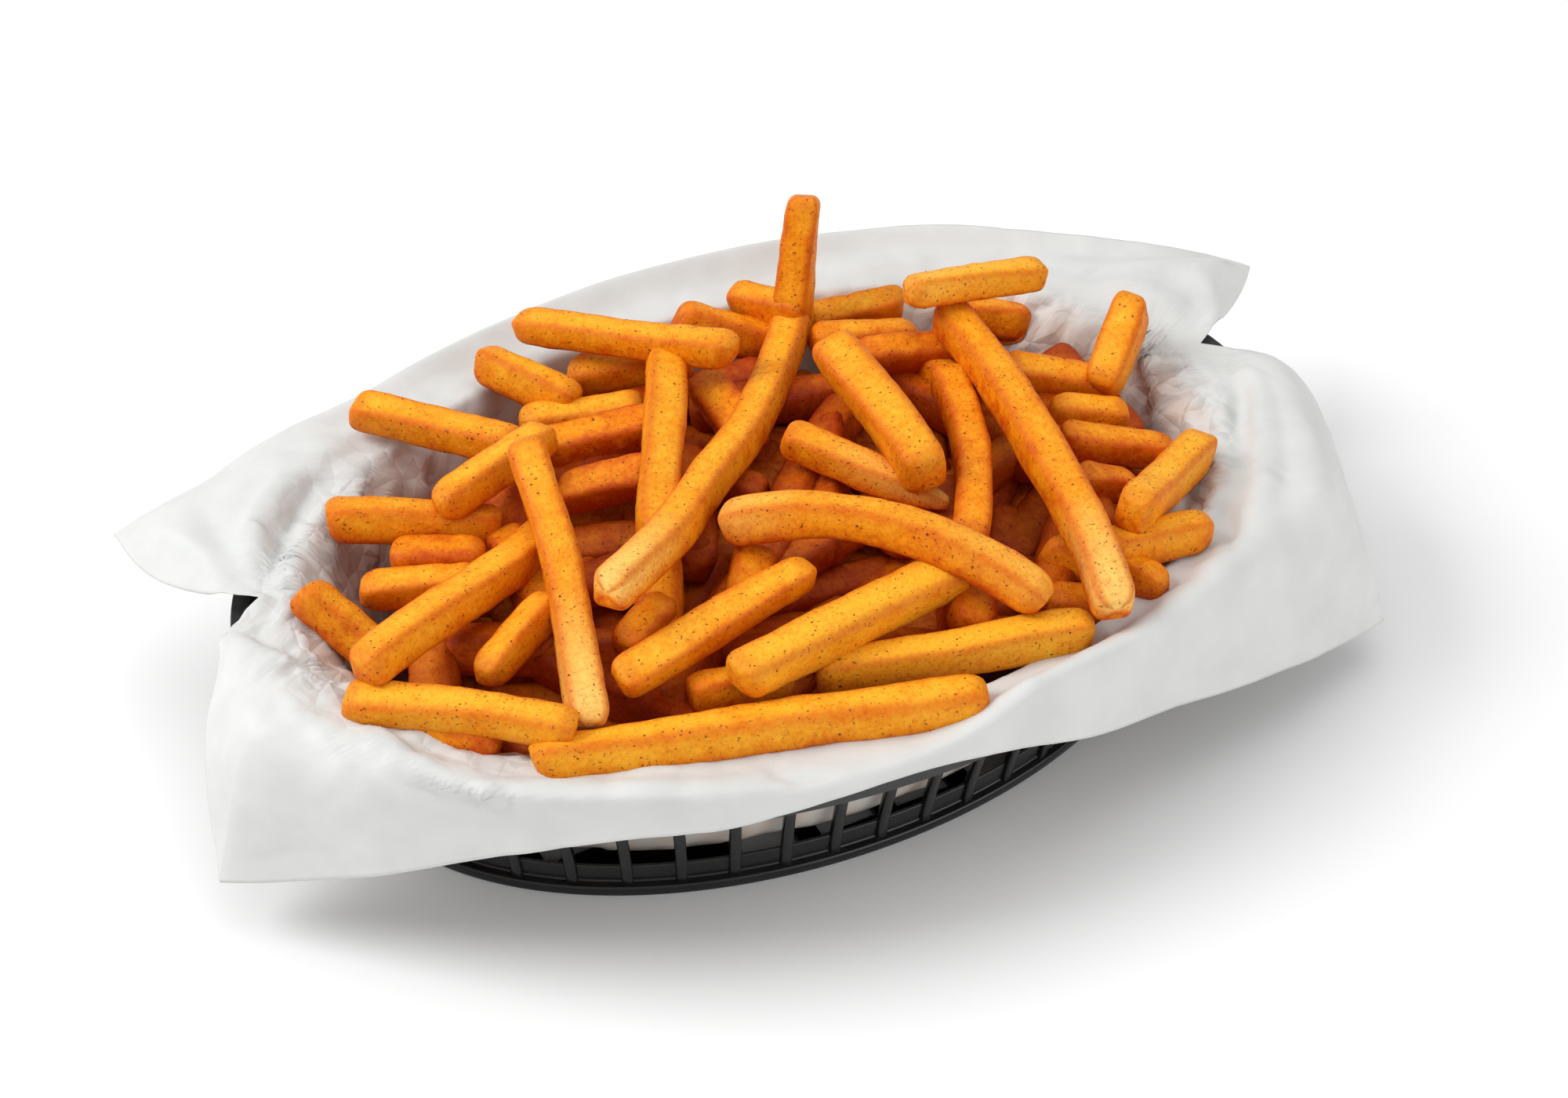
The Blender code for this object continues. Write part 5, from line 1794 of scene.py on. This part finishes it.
    def piece(self, name: str, fries: list[PlacedFry], seed: int, cutter: FryCutter,
              material: bpy.types.Material) -> bpy.types.Object:
        """Makes one piece of many fries.

        Args:
            name: the piece's name.
            fries: the fries in their places.
            seed: seeds their unevenness.
            cutter: what shapes them.
            material: their finish.

        Returns:
            The piece, with its looks as attributes.
        """
        rng = random.Random(seed)
        verts, faces, looks, first = [], [], [], 0
        for fry in fries:
            points, quads, look = cutter.shape(fry, rng)
            verts.append(points)
            looks.append(look)
            faces += [tuple(first + i for i in quad) for quad in quads]
            first += len(points)
        obj = new_piece(name, self.pressed(np.concatenate(verts)), faces, material)
        values = np.concatenate(looks).astype(np.float32)
        for column, label in enumerate(("tone", "pale", "edge")):
            attribute = obj.data.attributes.new(label, "FLOAT", "POINT")
            attribute.data.foreach_set("value", values[:, column].copy())
        return obj

    def core(self) -> bpy.types.Object:
        """Makes the dark core that closes the view down between the fries.

        Returns:
            The core.
        """
        rings, around = 10, 64
        limit = grown(self.basket.wall_half(self.core_level), -self.basket.wall - self.core_inset)
        angles = even_angles(limit, around)
        verts = []
        for ring in range(rings):
            for angle in angles:
                x, y = oval_point(limit, angle, 1.0 - ring / rings)
                lump = noise.noise(Vector((x, y, 0.0)) * self.core_lumps_per_metre) * self.core_lump
                verts.append((x, y, float(self.core_height(x, y)) - self.core_drop + lump))
        faces = grid_faces(rings, around)
        faces.append(tuple((rings - 1) * around + i for i in range(around)))
        base = len(verts)
        share, level = self.core_foot
        verts += [(*oval_point(limit, angle, share), level) for angle in angles]
        faces += [(base + i, base + (i + 1) % around, (i + 1) % around, i) for i in range(around)]
        faces.append(tuple(reversed(range(base, base + around))))
        return new_piece("heap_core", np.array(verts), faces, self.depths.make())

    def build(self) -> bpy.types.Object:
        """Builds the heap's pieces, which stand for its node.

        Returns:
            The showing fries.
        """
        rng = random.Random(self.fill_seed)
        self.fill = self.fill_fries(rng, self.fill_count, 0.0, self.fill_inset)
        shown = self.lay()
        material = self.finish.make()
        looks = random.Random(self.fill_seed + 1)
        tips = (Tip.BLUNT, Tip.ROUND)
        # The under fries get low tones: painted shade
        under = [PlacedFry(line, half, looks.uniform(-0.4, 0.4), (looks.choice(tips), looks.choice(tips)),
                           (0.0, 0.0), looks.uniform(0.0, 0.5))
                 for line, half in self.fill
                 + self.fill_fries(looks, self.deep_count, self.deep_drop, self.deep_inset)]
        behind = []
        for fry in BEHIND:
            ends = [VIEW.sight_point(pixel, height)
                    for pixel, height in zip((fry.start, fry.end), self.layer_heights(fry))]
            behind.append(PlacedFry(centre_line(*ends, fry.bend, self.line_points), 0.5 * fry.thick,
                                    looks.uniform(-0.3, 0.3), fry.tips, fry.pale, fry.tone))
        shown = [(line - VIEW.axes()[0] * fry.sink, half) for (line, half), fry in zip(shown, SHOWING)]
        top = [PlacedFry(line, half, looks.uniform(-0.32, 0.32), fry.tips, fry.pale, fry.tone)
               for (line, half), fry in zip(shown, SHOWING)]
        showing = settled(self.piece("showing_fries", top + behind, 21, self.cutter, material))
        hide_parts("fries")
        # The under fries wear the darker copy of the crust: painted shade
        settled(self.piece("under_fries", under, 22, self.rough_cutter, self.soaked_and_shaded.make()))
        settled(self.core())
        return showing


@dataclass(frozen=True)
class Seasoning:
    """Ground spice that clings to the fries as small grains."""

    name: str
    per_square_metre: float
    smallest: float
    largest: float
    seed: int
    finish: SpiceGrain

    def grain_tree(self) -> tuple[bpy.types.NodeTree, dict[str, str]]:
        """Builds the nodes that scatter grains over a surface.

        Returns:
            The tree, and the identifier of each of its named inputs.
        """
        names = {"Surface": "NodeSocketGeometry", "Density": "NodeSocketFloat", "Smallest": "NodeSocketFloat",
                 "Largest": "NodeSocketFloat", "Seed": "NodeSocketInt", "Finish": "NodeSocketMaterial"}
        tree, sockets = node_group(self.name + "_scatter", names, "Grains")
        given = add_node(tree, "NodeGroupInput").outputs
        spots = add_node(tree, "GeometryNodeDistributePointsOnFaces",
                         {"Mesh": given["Surface"], "Density": given["Density"], "Seed": given["Seed"]})
        grain = add_node(tree, "GeometryNodeMeshIcoSphere", {"Radius": 1.0, "Subdivisions": 1})
        size = add_node(tree, "FunctionNodeRandomValue",
                        {2: given["Smallest"], 3: given["Largest"], "Seed": given["Seed"]},
                        data_type="FLOAT").outputs[1]
        shape = add_node(tree, "FunctionNodeRandomValue",
                         {0: (0.6, 0.6, 0.35), 1: (1.3, 1.0, 0.6), "Seed": given["Seed"]},
                         data_type="FLOAT_VECTOR").outputs[0]
        scale = aimed(tree, "SCALE", {0: shape, "Scale": size})
        set_on = add_node(tree, "GeometryNodeInstanceOnPoints", {
            "Points": spots.outputs["Points"], "Instance": grain.outputs["Mesh"],
            "Rotation": spots.outputs["Rotation"], "Scale": scale})
        real = add_node(tree, "GeometryNodeRealizeInstances", {"Geometry": set_on.outputs[0]})
        dressed = add_node(tree, "GeometryNodeSetMaterial", {"Geometry": real.outputs[0],
                                                             "Material": given["Finish"]})
        add_node(tree, "NodeGroupOutput", {0: dressed.outputs[0]})
        return tree, sockets

    def scatter(self, surface: bpy.types.Object) -> bpy.types.Object:
        """Scatters the grains over a piece.

        Args:
            surface: the piece.

        Returns:
            The grains as one piece.
        """
        obj = in_scene(self.name, surface.data.copy())
        grow(obj, self.grain_tree(), {"Density": self.per_square_metre, "Smallest": self.smallest,
                                      "Largest": self.largest, "Seed": self.seed, "Finish": self.finish.make()})
        return settled(baked(obj))


# The studio


@dataclass(frozen=True)
class SoftLight:
    """A square soft box: where it stands, how wide it is and how strong."""

    name: str
    place: tuple[float, float, float]
    size: float
    power: float

    def hang(self, aim: Vector) -> None:
        """Hangs the light and turns it to a place.

        Args:
            aim: the place it faces.
        """
        data = bpy.data.lights.new(self.name, "AREA")
        data.size = self.size
        data.energy = self.power
        light = in_scene(self.name, data)
        light.location = self.place
        light.rotation_euler = (aim - Vector(self.place)).to_track_quat("-Z", "Y").to_euler()


@dataclass(frozen=True)
class Studio:
    """A plain white floor and soft light from behind on the left."""

    floor_size: float = 6.0
    sky: float = 0.60
    lights: tuple[SoftLight, ...] = (
        SoftLight("key_softbox", (-1.02, 0.50, 1.05), 0.8, 15.5),
        SoftLight("overhead_softbox", (0.15, 0.1, 1.5), 1.2, 5.2),
        SoftLight("fill_softbox", (0.60, -1.20, 0.36), 1.0, 5.9),
    )
    board: PaintedBoard = field(default_factory=PaintedBoard)

    def build(self) -> None:
        """Lays the floor, hangs the lights and sets the sky's even light."""
        half = 0.5 * self.floor_size
        corners = np.array([(-half, -half, 0.0), (half, -half, 0.0), (half, half, 0.0), (-half, half, 0.0)])
        floor = new_piece("studio_floor", corners, [(0, 1, 2, 3)], self.board.make(), smooth=False)
        for light in self.lights:
            light.hang(Vector((0.0, 0.0, 0.04)))
        world = bpy.data.worlds.new("studio_sky")
        world.use_nodes = True
        background = world.node_tree.nodes["Background"]
        background.inputs["Color"].default_value = (1.0, 1.0, 1.0, 1.0)
        background.inputs["Strength"].default_value = self.sky
        bpy.context.scene.world = world
        bpy.context.scene.view_settings.view_transform = "Standard"


def main() -> None:
    """Builds the portion in its studio."""
    VIEW.make_camera()
    Studio().build()
    basket = Basket()
    basket.build()
    sheet = PaperLiner(basket).build()
    showing = FryHeap(basket, sheet).build()
    Seasoning("pepper_grains", 3600.0, 0.16 * MM, 0.38 * MM, 3,
              SpiceGrain("ground_pepper", "#4E1C06", "#84400F")).scatter(showing)
    Seasoning("paprika_grains", 16000.0, 0.14 * MM, 0.32 * MM, 5,
              SpiceGrain("ground_paprika", "#7A2404", "#A84A10")).scatter(showing)


if __name__ == "__main__":
    main()
